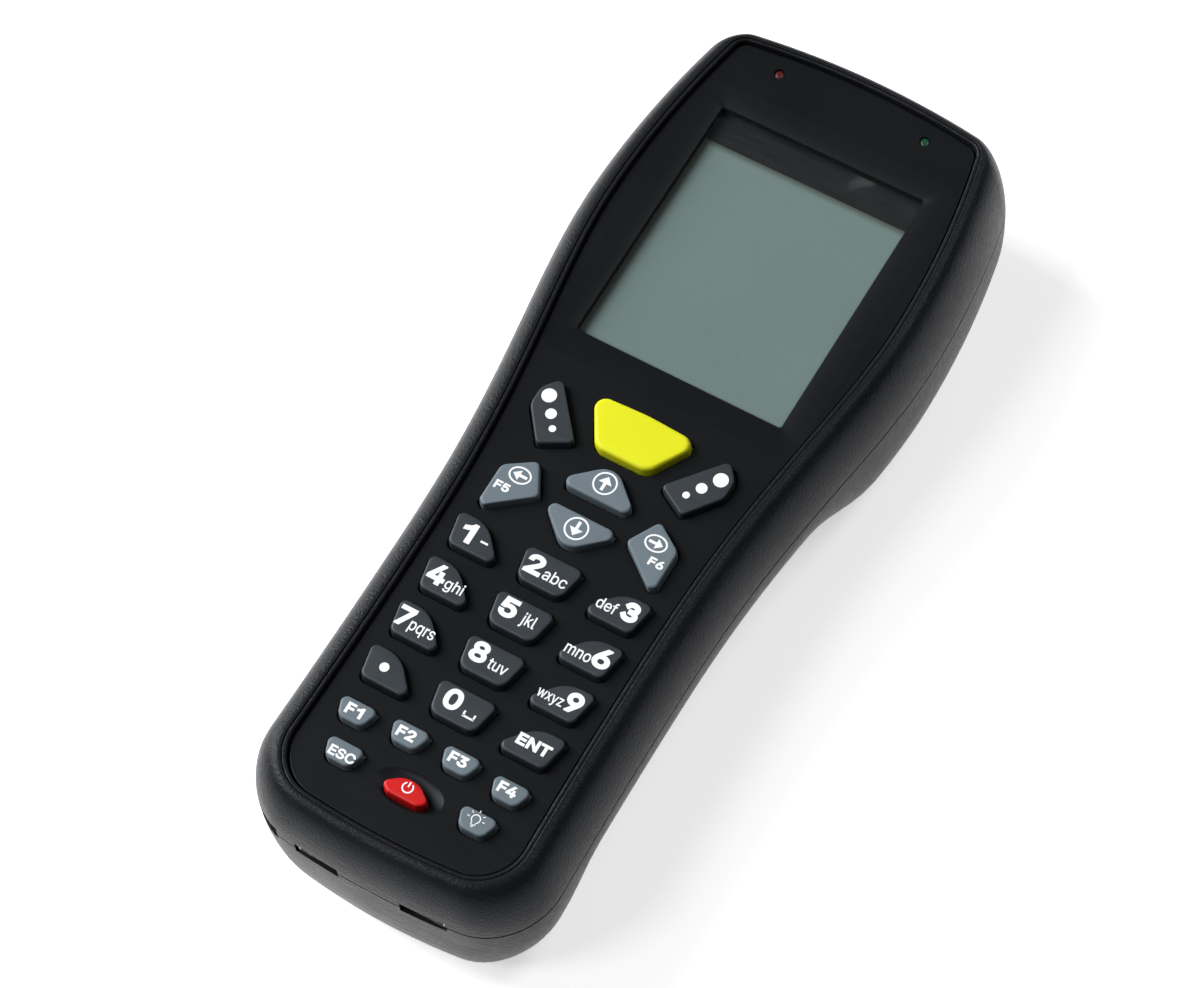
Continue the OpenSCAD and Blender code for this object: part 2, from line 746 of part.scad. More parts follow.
module battery_lid() color(rear_colour) {
    difference() {
        union() {
            intersection() {
                difference() {
                    rear_solid();
                    rear_room(lid_t);
                }
                translate([-lid_w / 2, hinge_y, 0]) cube([lid_w, lid_len, lid_room_z]);
            }
            translate([-barrel_half, hinge_y, hinge_z]) rotate([0, 90, 0])
                cylinder(h = 2 * barrel_half, r = barrel_r, $fn = 32);
        }
        translate([-barrel_half - cut, hinge_y, hinge_z]) rotate([0, 90, 0])
            cylinder(h = 2 * (barrel_half + cut), r = pin_r + run_fit, $fn = 24);
        both_sides(ear_x0 - 0.2 + lid_w / 4) translate([0, hinge_y, 0])
            centred_box(lid_w / 2, 2 * (hinge_relief + 1), -cut, face_z / 2);
    }
}

module lid_pin() color("silver")
    translate([-ear_x0 - ear_w, hinge_y, hinge_z]) rotate([0, 90, 0])
        cylinder(h = 2 * (ear_x0 + ear_w), r = pin_r, $fn = 24);

// ---------------------------------------------------------------- faceplate and display

edge_t = 0.5;
window_top = plate_top - dish_drop - edge_t;
window_bottom = window_top - window_t;
window_r = 0.6;
lip_r = 1.2;
dish_r = 3;
pane_gap = 0.1;
air_gap = 0.3;
glass_top = window_bottom - air_gap;
glass_bottom = glass_top - glass_t;
glass_margin = 2;
glass_w = window_w + 2 * glass_margin;
glass_h = window_h + 2 * glass_margin;
frame_w = glass_w + 2 * frame_wall;
frame_h = glass_h + 2 * frame_wall;
frame_gap = 0.02;
backlight_t = 1.8;

// Sides of the hollow round the power key, and how far its wall leans in
hollow_steps = 24;
hollow_slope = 0.9;

plate_colour = [0.16, 0.165, 0.175];
module faceplate() color(plate_colour) {
    difference() {
        slab(rim_outline(1, plate_gap), plate_bottom, plate_top);
        for (k = all_keys) slab(grown(rounded(k), key_gap), plate_bottom - cut, plate_top + cut);
        translate([0, window_y, 0]) {
            rounded_slab(window_w, window_h, window_r, plate_bottom - cut, plate_top + cut);
            rounded_slab(window_w + 2 * window_lip, window_h + 2 * window_lip, lip_r,
                plate_bottom - cut, window_top);
            hull() {
                rounded_slab(window_w, window_h, window_r, plate_top - dish_drop, plate_top - dish_drop / 2);
                translate([0, -dish_w / 8, 0]) rounded_slab(window_w + 2 * dish_w, window_h + dish_w * 2,
                    dish_r, plate_top, plate_top + cut);
            }
        }
        translate([0, led_y, 0]) both_sides(led_x) drill(led_r + seat_fit, plate_bottom - cut, plate_top + cut);
        stacked([for (i = [0:hollow_steps - 1]) let (a = 360 * (i + 0.5) / hollow_steps)
                [hollow_w * cos(a), hollow_h * sin(a) - escape_back]],
            [[plate_top - hollow_drop, -hollow_slope], [plate_top + cut, cut]]);
    }
}

module display_window() color([0.55, 0.6, 0.6, 0.4]) translate([0, window_y, 0])
    rounded_slab(window_w + 2 * window_lip - 2 * pane_gap, window_h + 2 * window_lip - 2 * pane_gap, lip_r - pane_gap,
        window_bottom, window_top);

module display_glass() color([0.45, 0.52, 0.5]) translate([0, window_y, 0])
    centred_box(glass_w - 2 * pane_gap, glass_h - 2 * pane_gap, glass_bottom, glass_top);

module display_frame() color([0.1, 0.1, 0.1]) translate([0, window_y, 0])
    difference() {
        centred_box(frame_w, frame_h, board_top, window_bottom);
        centred_box(window_w + 0.6, window_h + 0.6, board_top - cut, window_bottom + cut);
        centred_box(glass_w, glass_h, board_top - cut, glass_top);
    }

module backlight_panel() color([0.85, 0.88, 0.85]) translate([0, window_y, 0])
    centred_box(glass_w - 2 * pane_gap, glass_h - 2 * pane_gap, glass_bottom - backlight_t, glass_bottom);

module status_lamp(x) {
    translate([x, led_y, board_top]) {
        cylinder(h = plate_top - board_top - led_r / 3, r = led_r, $fn = 24);
        cylinder(h = 1.4, r = led_r + 0.5, $fn = 24);
    }
}
module led_red() color([0.8, 0.2, 0.2]) status_lamp(-led_x);
module led_green() color([0.2, 0.7, 0.35]) status_lamp(led_x);

// ---------------------------------------------------------------- electronics

mat_inset = 9.6;
mat_top_y = window_y - frame_h / 2 - 0.6;
skirt_w = 1.2;
plunger_hole_r = plunger_r + 0.5;

module mat_outline(inset) {
    intersection() {
        polygon(rim_outline(1, inset - rim_w));
        translate([-half_len, -half_len]) square([body_len, half_len + mat_top_y - inset + mat_inset]);
    }
}

module keypad_mat() color([0.2, 0.2, 0.21])
    difference() {
        translate([0, 0, board_top]) linear_extrude(mat_top - board_top) mat_outline(mat_inset);
        translate([0, 0, board_top - cut]) linear_extrude(mat_bottom - board_top + cut)
            mat_outline(mat_inset + skirt_w);
        for (k = all_keys) translate(key_centre(k)) drill(plunger_hole_r, board_top, mat_top + cut);
    }

dome_r = 1.9;
module key_domes() color("silver")
    for (k = all_keys) translate(key_centre(k)) drill(dome_r, board_top, board_top + dome_h);

// The sockets hang under the board, their mouths just inside the heel
socket_in = 1;
socket_y = socket_in - half_len;
heel_reach = 1.6;
board_heel_inset = board_inset - heel_reach;
board_head_r = 3;
board_heel_r = 8;
module main_board() color([0.1, 0.35, 0.2])
    difference() {
        slab(mirrored(half_outline(board_inset, board_inset, board_heel_inset, board_head_r, board_heel_r)),
            board_bottom, board_top);
        at_housing_posts() drill(screw_r + 0.2, 0, face_z);
        at_board_posts() drill(screw_r + 0.2, 0, face_z);
    }

// Chips, drivers and connectors on the back of the board: [x, y, width, length, height].
// Those by the middle serve the keys and the display, the others lie by the two ends.
middle_parts = [
    [-8, 24, 14, 14, 1.4], [12, 22, 9, 12, 1.1], [-10, 44, 10, 6, 1.2], [9, 46, 7, 7, 1]
];
heel_parts = [[-16, 19, 6, 4, 1], [14, 19, 6, 5, 1.2], [0, 13, 8, 5, 1.6]];
head_parts = [[-14, -21, 8, 5, 1.5], [0, -17, 18, 4, 2]];
module parts_from(y, list) {
    for (c = list) translate([c[0], y + c[1], 0]) centred_box(c[2], c[3], board_bottom - c[4], board_bottom);
}
module board_chips() color([0.08, 0.08, 0.09]) {
    parts_from(0, middle_parts);
    parts_from(-half_len, heel_parts);
    parts_from(half_len, head_parts);
}

coin_r = 6.2;
coin_t = 2;
coin_x = 6;
coin_in = 26;
coin_y = half_len - coin_in;
module coin_cell() color("silver")
    translate([coin_x, coin_y, 0]) drill(coin_r, board_bottom - coin_t, board_bottom);

beeper_r = 5;
beeper_t = 4;
beeper_y = 37;
module beeper() color([0.07, 0.07, 0.07]) translate([0, beeper_y, 0])
    difference() {
        drill(beeper_r, board_bottom - beeper_t, board_bottom);
        drill(beeper_r / 5, board_bottom - beeper_t - cut, board_bottom - beeper_t + 1);
    }

// Thickness of a socket's metal shell and of the tongue inside it
shell_t = 0.3;
tongue_t = 0.5;
module socket(x) {
    translate([x, socket_y + socket_len / 2, 0]) difference() {
        centred_box(socket_w, socket_len, socket_z - socket_h / 2, socket_z + socket_h / 2);
        translate([0, -socket_len * 0.2, 0]) difference() {
            centred_box(socket_w - 2 * shell_t, socket_len, socket_z - socket_h / 2 + shell_t,
                socket_z + socket_h / 2 - shell_t);
            translate([0, socket_len * 0.15, 0])
                centred_box(socket_w * 0.6, socket_len * 0.8, socket_z - tongue_t / 2, socket_z + tongue_t / 2);
        }
    }
}
module socket_left() color("silver") socket(-socket_x);
module socket_right() color("silver") socket(socket_x);

// ---------------------------------------------------------------- scanner

module scan_window() color([0.5, 0.1, 0.1, 0.6]) translate([0, pane_y - scan_pane_t / 2, 0])
    centred_box(pane_w - 0.2, scan_pane_t, scan_open_z - pane_h / 2 + 0.1, scan_open_z + pane_h / 2 - 0.1);

engine_z = bracket_z + bracket_t;
module scan_engine() color([0.12, 0.12, 0.13])
    translate([0, (engine_y0 + engine_y1) / 2, 0]) difference() {
        centred_box(engine_w, engine_len, engine_z, engine_z + engine_h);
        translate([engine_w / 4, engine_len / 2, 0])
            centred_box(engine_w / 4, 2, engine_z + 2, engine_z + engine_h - 2);
    }

lens_r = 3;
module scan_lens() color([0.2, 0.25, 0.3])
    translate([-engine_w / 5, engine_y1, engine_z + engine_h / 2]) rotate([-90, 0, 0]) {
        cylinder(h = 1.6, r = lens_r, $fn = 32);
        translate([0, 0, 1.6]) cylinder(h = 0.8, r1 = lens_r * 0.8, r2 = lens_r * 0.5, $fn = 32);
    }

module engine_bracket() color("silver")
    difference() {
        translate([0, (engine_y0 + engine_y1) / 2, 0]) {
            centred_box(2 * (bracket_post_x + post_r), engine_len, bracket_z, bracket_z + bracket_t);
            translate([0, -engine_len / 2 - bracket_t / 2, 0])
                centred_box(engine_w, bracket_t, bracket_z, bracket_z + engine_h * 0.7);
        }
        for (y = bracket_post_y) translate([0, y, 0]) both_sides(bracket_post_x)
            drill(screw_r + 0.1, bracket_z - cut, bracket_z + bracket_t + cut);
    }

// ---------------------------------------------------------------- battery

module battery_pack() color([0.2, 0.2, 0.22]) {
    translate([0, (bay_y0 + bay_y1) / 2, 0])
        rounded_slab(bay_in_w - 0.8, bay_y1 - bay_y0 - 1.4, 2,
            arch_h + lid_t + lid_gap, arch_h + lid_t + lid_gap + pack_h);
}

contact_t = 0.7;
contact_lift = 3;
contact_w = 2.4;
contact_pitch = 5;
module battery_contacts() color([0.8, 0.65, 0.3])
    for (i = [-1:1]) translate([i * contact_pitch, bay_y1 - contact_t / 2, 0])
        centred_box(contact_w, contact_t, arch_h + lid_t + contact_lift, arch_h + lid_t + pack_h);

// ---------------------------------------------------------------- fasteners

module housing_screws() color("silver") at_housing_posts() screw(head_seat_z, board_top + screw_reach - 0.1);

module board_screws() color("silver") at_board_posts() screw(board_bottom, board_top + screw_reach - 0.1);

module bracket_screws() color("silver")
    for (y = bracket_post_y) translate([0, y, bracket_z + bracket_t]) both_sides(bracket_post_x) {
        drill(screw_head_r * 0.8, 0, bracket_t);
        drill(screw_r, wall - bracket_z, 0);
    }

module strap_post() color("silver")
    at_strap() drill(strap_post_r, strap_low - strap_seat, strap_high + strap_seat);

// ---------------------------------------------------------------- keys

dark_key = [0.2, 0.215, 0.23];
pale_key = [0.43, 0.48, 0.51];
yellow_key = [0.91, 0.93, 0.22];
red_key = [0.88, 0.1, 0.08];

module key_scan() color(yellow_key) key(scan_key_at, 0.2);
module key_dotted_left() color(dark_key) key(dotted_left_at);
module key_dotted_right() color(dark_key) key(flip(dotted_left_at));
module key_f5() color(pale_key) key(cursor_left_at);
module key_up() color(pale_key) key(up_at);
module key_down() color(pale_key) key(down_at);
module key_f6() color(pale_key) key(flip(cursor_left_at));
module key_1() color(dark_key) key(leaf_at(0));
module key_2() color(dark_key) key(middle_at(0));
module key_3() color(dark_key) key(flip(leaf_at(0)));
module key_4() color(dark_key) key(leaf_at(1));
module key_5() color(dark_key) key(middle_at(1));
module key_6() color(dark_key) key(flip(leaf_at(1)));
module key_7() color(dark_key) key(leaf_at(2));
module key_8() color(dark_key) key(middle_at(2));
module key_9() color(dark_key) key(flip(leaf_at(2)));
module key_point() color(dark_key) key(leaf_at(3));
module key_0() color(dark_key) key(middle_at(3));
module key_enter() color(dark_key) key(flip(leaf_at(3)));
module key_f1() color(pale_key) key(function_at(0));
module key_f2() color(pale_key) key(function_at(1));
module key_f3() color(pale_key) key(function_at(2));
module key_f4() color(pale_key) key(function_at(3));
module key_escape() color(pale_key) key(escape_at);
module key_power() color(red_key) key(power_at);
module key_lamp() color(pale_key) key(flip(escape_at));

front_housing();
rear_housing();
faceplate();
housing_seal();
display_window();
display_glass();
display_frame();
backlight_panel();
led_red();
led_green();
keypad_mat();
key_domes();
main_board();
board_chips();
coin_cell();
beeper();
socket_left();
socket_right();
scan_window();
scan_engine();
scan_lens();
engine_bracket();
battery_pack();
battery_contacts();
battery_lid();
lid_pin();
housing_screws();
board_screws();
bracket_screws();
strap_post();
key_scan();
key_dotted_left();
key_dotted_right();
key_f5();
key_up();
key_down();
key_f6();
key_1();
key_2();
key_3();
key_4();
key_5();
key_6();
key_7();
key_8();
key_9();
key_point();
key_0();
key_enter();
key_f1();
key_f2();
key_f3();
key_f4();
key_escape();
key_power();
key_lamp();
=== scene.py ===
import math
import os

import bmesh
import bpy
import numpy
from mathutils import Matrix, Quaternion, Vector
from mathutils.geometry import delaunay_2d_cdt, interpolate_bezier


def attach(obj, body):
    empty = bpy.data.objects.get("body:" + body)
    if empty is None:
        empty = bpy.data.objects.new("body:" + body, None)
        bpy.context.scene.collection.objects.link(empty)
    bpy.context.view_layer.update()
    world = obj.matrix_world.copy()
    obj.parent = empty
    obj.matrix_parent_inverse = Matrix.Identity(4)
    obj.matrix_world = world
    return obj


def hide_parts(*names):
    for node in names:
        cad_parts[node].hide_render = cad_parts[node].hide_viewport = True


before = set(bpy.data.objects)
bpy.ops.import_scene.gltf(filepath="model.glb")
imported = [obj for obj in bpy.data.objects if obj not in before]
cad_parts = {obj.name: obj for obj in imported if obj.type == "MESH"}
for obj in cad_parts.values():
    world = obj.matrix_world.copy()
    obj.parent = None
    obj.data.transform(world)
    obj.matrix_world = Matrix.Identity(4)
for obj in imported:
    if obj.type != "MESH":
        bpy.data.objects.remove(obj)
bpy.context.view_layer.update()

# ---------------------------------------------------------------- the table and the view
# The terminal lies on its back on a white table, with soft light from large diffusers.
# It is seen from above its heel, a little to its right, with a long lens.

MM = 0.001
camera_place = Vector((211.8, -277.3, 707.1)) * MM
aim_point = Vector((0.03, -9.04, 34.5)) * MM
camera_roll = math.radians(-8.59)
focal_mm = 139.97
sensor_mm = 36

camera_data = bpy.data.cameras.new("view")
camera_data.lens = focal_mm
camera_data.sensor_width = sensor_mm
camera_data.sensor_fit = "HORIZONTAL"
camera_data.clip_start = 0.05
camera_data.clip_end = 20
camera = bpy.data.objects.new("view", camera_data)
bpy.context.scene.collection.objects.link(camera)
turn = (aim_point - camera_place).to_track_quat("-Z", "Y") @ Quaternion((0, 0, 1), camera_roll)
camera.matrix_world = Matrix.Translation(camera_place) @ turn.to_matrix().to_4x4()
bpy.context.scene.camera = camera
bpy.context.scene.view_settings.view_transform = "Standard"

table_reach = 4.0
table_white = 0.86
table_lift = 0.6


def new_material(name):
    """Empty material, with its node tree and its output node."""
    material = bpy.data.materials.new(name)
    material.use_nodes = True
    tree = material.node_tree
    tree.nodes.clear()
    output = tree.nodes.new("ShaderNodeOutputMaterial")
    return material, tree, output


def add_node(tree, kind, inputs=None, **settings):
    """New shader node with its settings and the values of its unlinked sockets."""
    node = tree.nodes.new("ShaderNode" + kind)
    for name, value in settings.items():
        setattr(node, name, value)
    for socket, value in (inputs or {}).items():
        node.inputs[socket].default_value = value
    return node


def wire(tree, *runs):
    """Links sockets: each run is (from node, its output, to node, its input)."""
    for source, out, target, into in runs:
        tree.links.new(source.outputs[out], target.inputs[into])


def table_material():
    """White paint that also glows to the camera and in gloss and glass, and so keeps its shadow."""
    material, tree, output = new_material("white_table")
    paint = add_node(tree, "BsdfDiffuse", {"Color": (table_white, table_white, table_white, 1)})
    glow = add_node(tree, "Emission", {"Color": (1, 1, 1, 1)})
    rays = add_node(tree, "LightPath")
    seen = add_node(tree, "Math", operation="MAXIMUM")
    mirrored = add_node(tree, "Math", operation="MAXIMUM")
    lift = add_node(tree, "Math", {1: table_lift}, operation="MULTIPLY")
    both = add_node(tree, "AddShader")
    wire(tree, (rays, "Is Camera Ray", seen, 0), (rays, "Is Transmission Ray", seen, 1),
         (seen, 0, mirrored, 0), (rays, "Is Glossy Ray", mirrored, 1), (mirrored, 0, lift, 0),
         (lift, 0, glow, "Strength"), (paint, 0, both, 0), (glow, 0, both, 1), (both, 0, output, "Surface"))
    return material


table_mesh = bpy.data.meshes.new("white_table")
table_mesh.from_pydata(
    [(-table_reach, -table_reach, 0), (table_reach, -table_reach, 0),
     (table_reach, table_reach, 0), (-table_reach, table_reach, 0)], [], [(0, 1, 2, 3)])
table_mesh.materials.append(table_material())
table = bpy.data.objects.new("white_table", table_mesh)
bpy.context.scene.collection.objects.link(table)

# The room, dim enough to leave the black faces black
world = bpy.data.worlds.new("dim_room")
bpy.context.scene.world = world
world.use_nodes = True
world.node_tree.nodes["Background"].inputs["Color"].default_value = (0.9, 0.95, 1.0, 1)
world.node_tree.nodes["Background"].inputs["Strength"].default_value = 0.025

# name, place in metres, size across and along, watts: each faces the middle of the terminal
diffusers = [
    ("diffuser_left", (-1.25, 0.1, 0.55), (0.4, 1.2), 18.0),
    ("diffuser_high", (-0.9, -0.2, 1.0), (0.5, 0.7), 13.0),
    ("diffuser_over", (0.45, 0.6, 1.2), (0.4, 0.4), 4.0),
    ("diffuser_heel", (-0.35, -0.62, 1.05), (0.3, 0.12), 3.5),
    ("diffuser_head", (0.25, 1.35, 0.55), (1.2, 0.4), 3.0),
]
lamp_target = Vector((0, 0, 0.02))
for name, place, size, watts in diffusers:
    lamp_data = bpy.data.lights.new(name, "AREA")
    lamp_data.shape = "RECTANGLE"
    lamp_data.size, lamp_data.size_y = size
    lamp_data.energy = watts
    lamp = bpy.data.objects.new(name, lamp_data)
    lamp.location = place
    lamp.rotation_euler = (lamp_target - Vector(place)).to_track_quat("-Z", "Y").to_euler()
    bpy.context.scene.collection.objects.link(lamp)

# ---------------------------------------------------------------- rear housing
# The back half of the body: an ABS moulding, spark-textured black, with a waist for the hand.
# It arches between head and heel, and carries the battery bay, the barcode window and the
# halves of the openings in the heel.

body_len = 165.4
head_half_w = 33.1
head_y = 41
head_side_r = 150
waist_half_w = 26.9
waist_back = 34
heel_flare = 0.45
end_arc_r = 150
head_corner_r = 6.5
heel_corner_r = 11.5
face_z = 34.5
crest_h = 0.3
rim_w = 6
rim_head_w = 4.1
rim_heel_w = 5.6
part_depth = 10.9
part_slope = 0.02
part_bow = 0.0003
wall = 2.2
arch_h = 6.5
head_draw = 10
grip_draw = 12
end_draw = 9
grip_power = 2.1
head_power = 3
plate_head_r = 1.5
plate_heel_r = 7.5
heel_rest = (-66, -56)
head_rest = (8, 27)
half_len = body_len / 2
waist_y = -waist_back
crest_z = face_z + crest_h

shell_black = (0.0105, 0.0112, 0.0128)


def step_up(a, b, v):
    """Smooth step of v from 0 at a to 1 at b."""
    t = max(0.0, min(1.0, (v - a) / (b - a)))
    return t * t * (3 - 2 * t)


def half_w(y):
    """Half width of the body at y."""
    if y > head_y:
        return head_half_w - (y - head_y) ** 2 / (2 * head_side_r)
    if y > waist_y:
        share = ((y - waist_y) / (head_y - waist_y)) ** 1.4
        return waist_half_w + (head_half_w - waist_half_w) * share * share * (3 - 2 * share)
    return waist_half_w + heel_flare * ((waist_y - y) / waist_back) ** 2


def corner(end, reach, side, r, a, y):
    """Point at angle a on the rounded corner between a side and an end of the body."""
    for _ in range(6):
        x = half_w(y) - side - r * (1 - math.cos(a))
        y = end * (reach - x * x / (2 * end_arc_r) - r * (1 - math.sin(a)))
    return half_w(y) - side - r * (1 - math.cos(a)), y


end_steps = 10
corner_steps = 14
side_steps = 44


def outline(side, head_in, heel_in, head_r, heel_r):
    """Closed outline of the body, from the middle of the heel round by the right side."""
    top = half_len - head_in
    low = half_len - heel_in
    turns = [math.pi / 2 * i / corner_steps for i in range(corner_steps + 1)]
    heel = [corner(-1, low, side, heel_r, a, -low) for a in reversed(turns)]
    head = [corner(1, top, side, head_r, a, top) for a in turns]
    half = []
    for i in range(end_steps):
        x = heel[0][0] * i / end_steps
        half.append((x, x * x / (2 * end_arc_r) - low))
    half += heel
    y0, y1 = heel[-1][1], head[0][1]
    for i in range(1, side_steps):
        y = y0 + (y1 - y0) * i / side_steps
        half.append((half_w(y) - side, y))
    half += head
    for i in range(1, end_steps + 1):
        x = head[-1][0] * (1 - i / end_steps)
        half.append((x, top - x * x / (2 * end_arc_r)))
    return half + [(-x, y) for x, y in reversed(half[1:-1])]


def rim_outline(u, extra=0.0):
    """Outline that lies a share u of the front rim in from the outside of the body."""
    return outline(
        rim_w * u + extra, rim_head_w * u + extra, rim_heel_w * u + extra,
        max(0.5, head_corner_r + (plate_head_r - head_corner_r) * u - extra / 2),
        max(0.5, heel_corner_r + (plate_heel_r - heel_corner_r) * u - extra / 2))


def part_z(y):
    """Height of the parting line."""
    return face_z - part_depth - part_slope * y - part_bow * y * y


def back_z(y):
    """Height of the back over the table: it rests on the heel and the head."""
    return arch_h * (step_up(*heel_rest, y) - step_up(*head_rest, y))


def drawn(w, power):
    """How far a side is drawn in at height share w: a rounded corner of the given power."""
    return 1 - (1 - w ** power) ** (1 / power)


def back_ring(w, extra):
    """Ring of the rear shell at height share w, 0 on the parting line and 1 on the back."""
    end_in = end_draw * drawn(w, 3) + extra
    ring = []
    for x, y in outline(extra, end_in, end_in, head_corner_r + 2 * w, heel_corner_r):
        hold = step_up(*head_rest, y)
        power = grip_power + (head_power - grip_power) * hold
        draw = grip_draw + (head_draw - grip_draw) * hold
        z0 = part_z(y)
        z1 = back_z(y) + extra
        ring.append((x * (1 - draw * drawn(w, power) / half_w(y)), y, z0 + (z1 - z0) * w))
    return ring


def band_faces(first, second, count):
    """Quads between two rings that start at the given vertex numbers."""
    return [(first + i, first + (i + 1) % count, second + (i + 1) % count, second + i)
            for i in range(count)]


def cap_faces(first, count, upward):
    """Strips that close a mirrored ring from side to side."""
    half = count // 2
    faces = [(first, first + 1, first + count - 1)]
    for i in range(1, half - 1):
        faces.append((first + i, first + i + 1, first + count - i - 1, first + count - i))
    faces.append((first + half - 1, first + half, first + half + 1))
    return faces if upward else [tuple(reversed(f)) for f in faces]


def piece_from(name, points, faces, material, crease=math.radians(40)):
    """New object from points in millimetres."""
    mesh = bpy.data.meshes.new(name)
    mesh.from_pydata([(x * MM, y * MM, z * MM) for x, y, z in points], [], faces)
    made = bpy.data.objects.new(name, mesh)
    bpy.context.scene.collection.objects.link(made)
    settle(made, material, crease)
    return made


def settle(made, material, crease=math.radians(40)):
    """Outward faces, soft shading with crisp edges, and one material."""
    mesh = made.data
    form = bmesh.new()
    form.from_mesh(mesh)
    bmesh.ops.remove_doubles(form, verts=form.verts, dist=1e-7)
    bmesh.ops.recalc_face_normals(form, faces=form.faces)
    form.to_mesh(mesh)
    form.free()
    mesh.shade_smooth()
    mesh.set_sharp_from_angle(angle=crease)
    mesh.materials.clear()
    if material:
        mesh.materials.append(material)


def loft_points(rings):
    """The points of all rings in one list."""
    return [p for ring in rings for p in ring]


def box_piece(name, blocks):
    """Cutting or joining blocks: each is (low corner, high corner) in millimetres."""
    points, faces = [], []
    for low, high in blocks:
        n = len(points)
        points += [(x, y, z) for z in (low[2], high[2]) for y in (low[1], high[1])
                   for x in (low[0], high[0])]
        faces += [tuple(n + k for k in f) for f in (
            (0, 2, 3, 1), (4, 5, 7, 6), (0, 1, 5, 4), (2, 6, 7, 3), (0, 4, 6, 2), (1, 3, 7, 5))]
    return piece_from(name, points, faces, None)


def rod_piece(name, rods, sides=32):
    """Upright rods: each is (x, y, radius, low z, high z) in millimetres."""
    points, faces = [], []
    turns = [math.tau * i / sides for i in range(sides)]
    for x, y, r, z0, z1 in rods:
        n = len(points)
        for z in (z0, z1):
            points += [(x + r * math.cos(a), y + r * math.sin(a), z) for a in turns]
        faces += band_faces(n, n + sides, sides)
        faces.append(tuple(n + i for i in reversed(range(sides))))
        faces.append(tuple(n + sides + i for i in range(sides)))
    return piece_from(name, points, faces, None)


def carve(made, tool, operation="DIFFERENCE"):
    """Cuts the tool out of the piece, or joins or intersects it, and removes the tool."""
    step = made.modifiers.new("carve", "BOOLEAN")
    step.object = tool
    step.operation = operation
    step.solver = "EXACT"
    graph = bpy.context.evaluated_depsgraph_get()
    mesh = bpy.data.meshes.new_from_object(made.evaluated_get(graph))
    made.modifiers.clear()
    made.data = mesh
    bpy.data.objects.remove(tool)


def moulded(name, colour, roughness, grain_mm, grain_depth, tone=0.12, sheen=0.5, uneven=0.055):
    """Moulded plastic: a fine spark texture, slightly uneven tone and gloss, faint handling marks.

    The grain is a wave of grain_mm, the clouds of tone are 17 mm, and the marks run along one way.
    """
    material, tree, output = new_material(name)
    shader = add_node(tree, "BsdfPrincipled", {"Specular IOR Level": sheen,
                                               "Specular Tint": (0.84, 0.91, 1, 1)})
    place = add_node(tree, "TexCoord")
    grain = add_node(tree, "TexNoise", {"Scale": 1 / (grain_mm * MM), "Detail": 3})
    clouds = add_node(tree, "TexNoise", {"Scale": 60, "Detail": 4})
    smears = add_node(tree, "Mapping", {"Scale": (40, 240, 240), "Rotation": (0, 0, 0.6)})
    scuffs = add_node(tree, "TexNoise", {"Scale": 4, "Detail": 6})
    tones = add_node(tree, "ValToRGB")
    for end, spot, share in ((0, 0.3, 1 - tone), (1, 0.7, 1 + tone)):
        tones.color_ramp.elements[end].position = spot
        tones.color_ramp.elements[end].color = (*[c * share for c in colour], 1)
    gloss = add_node(tree, "MapRange", {"From Min": 0.3, "From Max": 0.7,
                                        "To Min": roughness - uneven, "To Max": roughness + uneven})
    bump = add_node(tree, "Bump", {"Distance": 0.05 * grain_depth * MM})
    wire(tree, (place, "Object", grain, "Vector"), (place, "Object", clouds, "Vector"),
         (place, "Object", smears, "Vector"), (smears, "Vector", scuffs, "Vector"),
         (clouds, "Fac", tones, "Fac"), (tones, "Color", shader, "Base Color"),
         (scuffs, "Fac", gloss, "Value"), (gloss, "Result", shader, "Roughness"),
         (grain, "Fac", bump, "Height"), (bump, "Normal", shader, "Normal"), (shader, 0, output, "Surface"))
    return material


shell_finish = moulded("spark_textured_black", shell_black, 0.33, 0.42, 2.2, sheen=0.11)

hinge_y = -52
lid_w = 34
lid_len = 56
lid_t = 2
lid_gap = 0.3
barrel_r = 1.3
hinge_z = arch_h + barrel_r + 0.1
hinge_relief = barrel_r + 2 * lid_gap
lid_room_z = arch_h + lid_t + 1
lid_end_y = hinge_y + lid_len
ear_x0 = 11.3
ear_w = 3
bay_wall = 1.2
bay_half = lid_w / 2 - bay_wall
bay_out_half = lid_w / 2 + lid_gap + bay_wall
bay_y0 = hinge_y + 3
bay_y1 = lid_end_y - 2.5
bay_ceiling = 18.8

port_x = 10
port_w = 8.4
port_h = 2.8
port_z = part_z(-half_len)
strap_x = 20.4
strap_slot_w = 5
strap_slot_h = 4

scan_open_w = 28
scan_open_h = 10
scan_open_z = 13.4
pane_w = scan_open_w + 3
pane_h = scan_open_h + 2.4
pane_y = half_len - wall - 1.1
pane_back = pane_y - 1.2

post_y = (13 - half_len, half_len - 9)
post_in = 7
post_r = 3.5
posts = [(side * (half_w(y) - post_in), y) for y in post_y for side in (-1, 1)]
screw_seat_z = 9
screw_head_r = 2.2
screw_hole_r = 1.3
bay_low = 8
frame_rim = 1.5
sliver = 0.01

groove_w = 0.22


def heel_openings():
    """Blocks that open the heel for the two sockets and the strap."""
    blocks = [((s * port_x - port_w / 2, -half_len - 9, port_z - port_h / 2),
               (s * port_x + port_w / 2, -half_len + 4.4, port_z + port_h / 2)) for s in (-1, 1)]
    blocks.append(((-strap_x - strap_slot_w / 2, -half_len - 6, port_z - strap_slot_h / 2),
                   (-strap_x + strap_slot_w / 2, -half_len + 6, port_z + strap_slot_h / 2)))
    return box_piece("heel_openings", blocks)


back_heights = [1 - (1 - i / 22) ** 1.6 for i in range(23)]


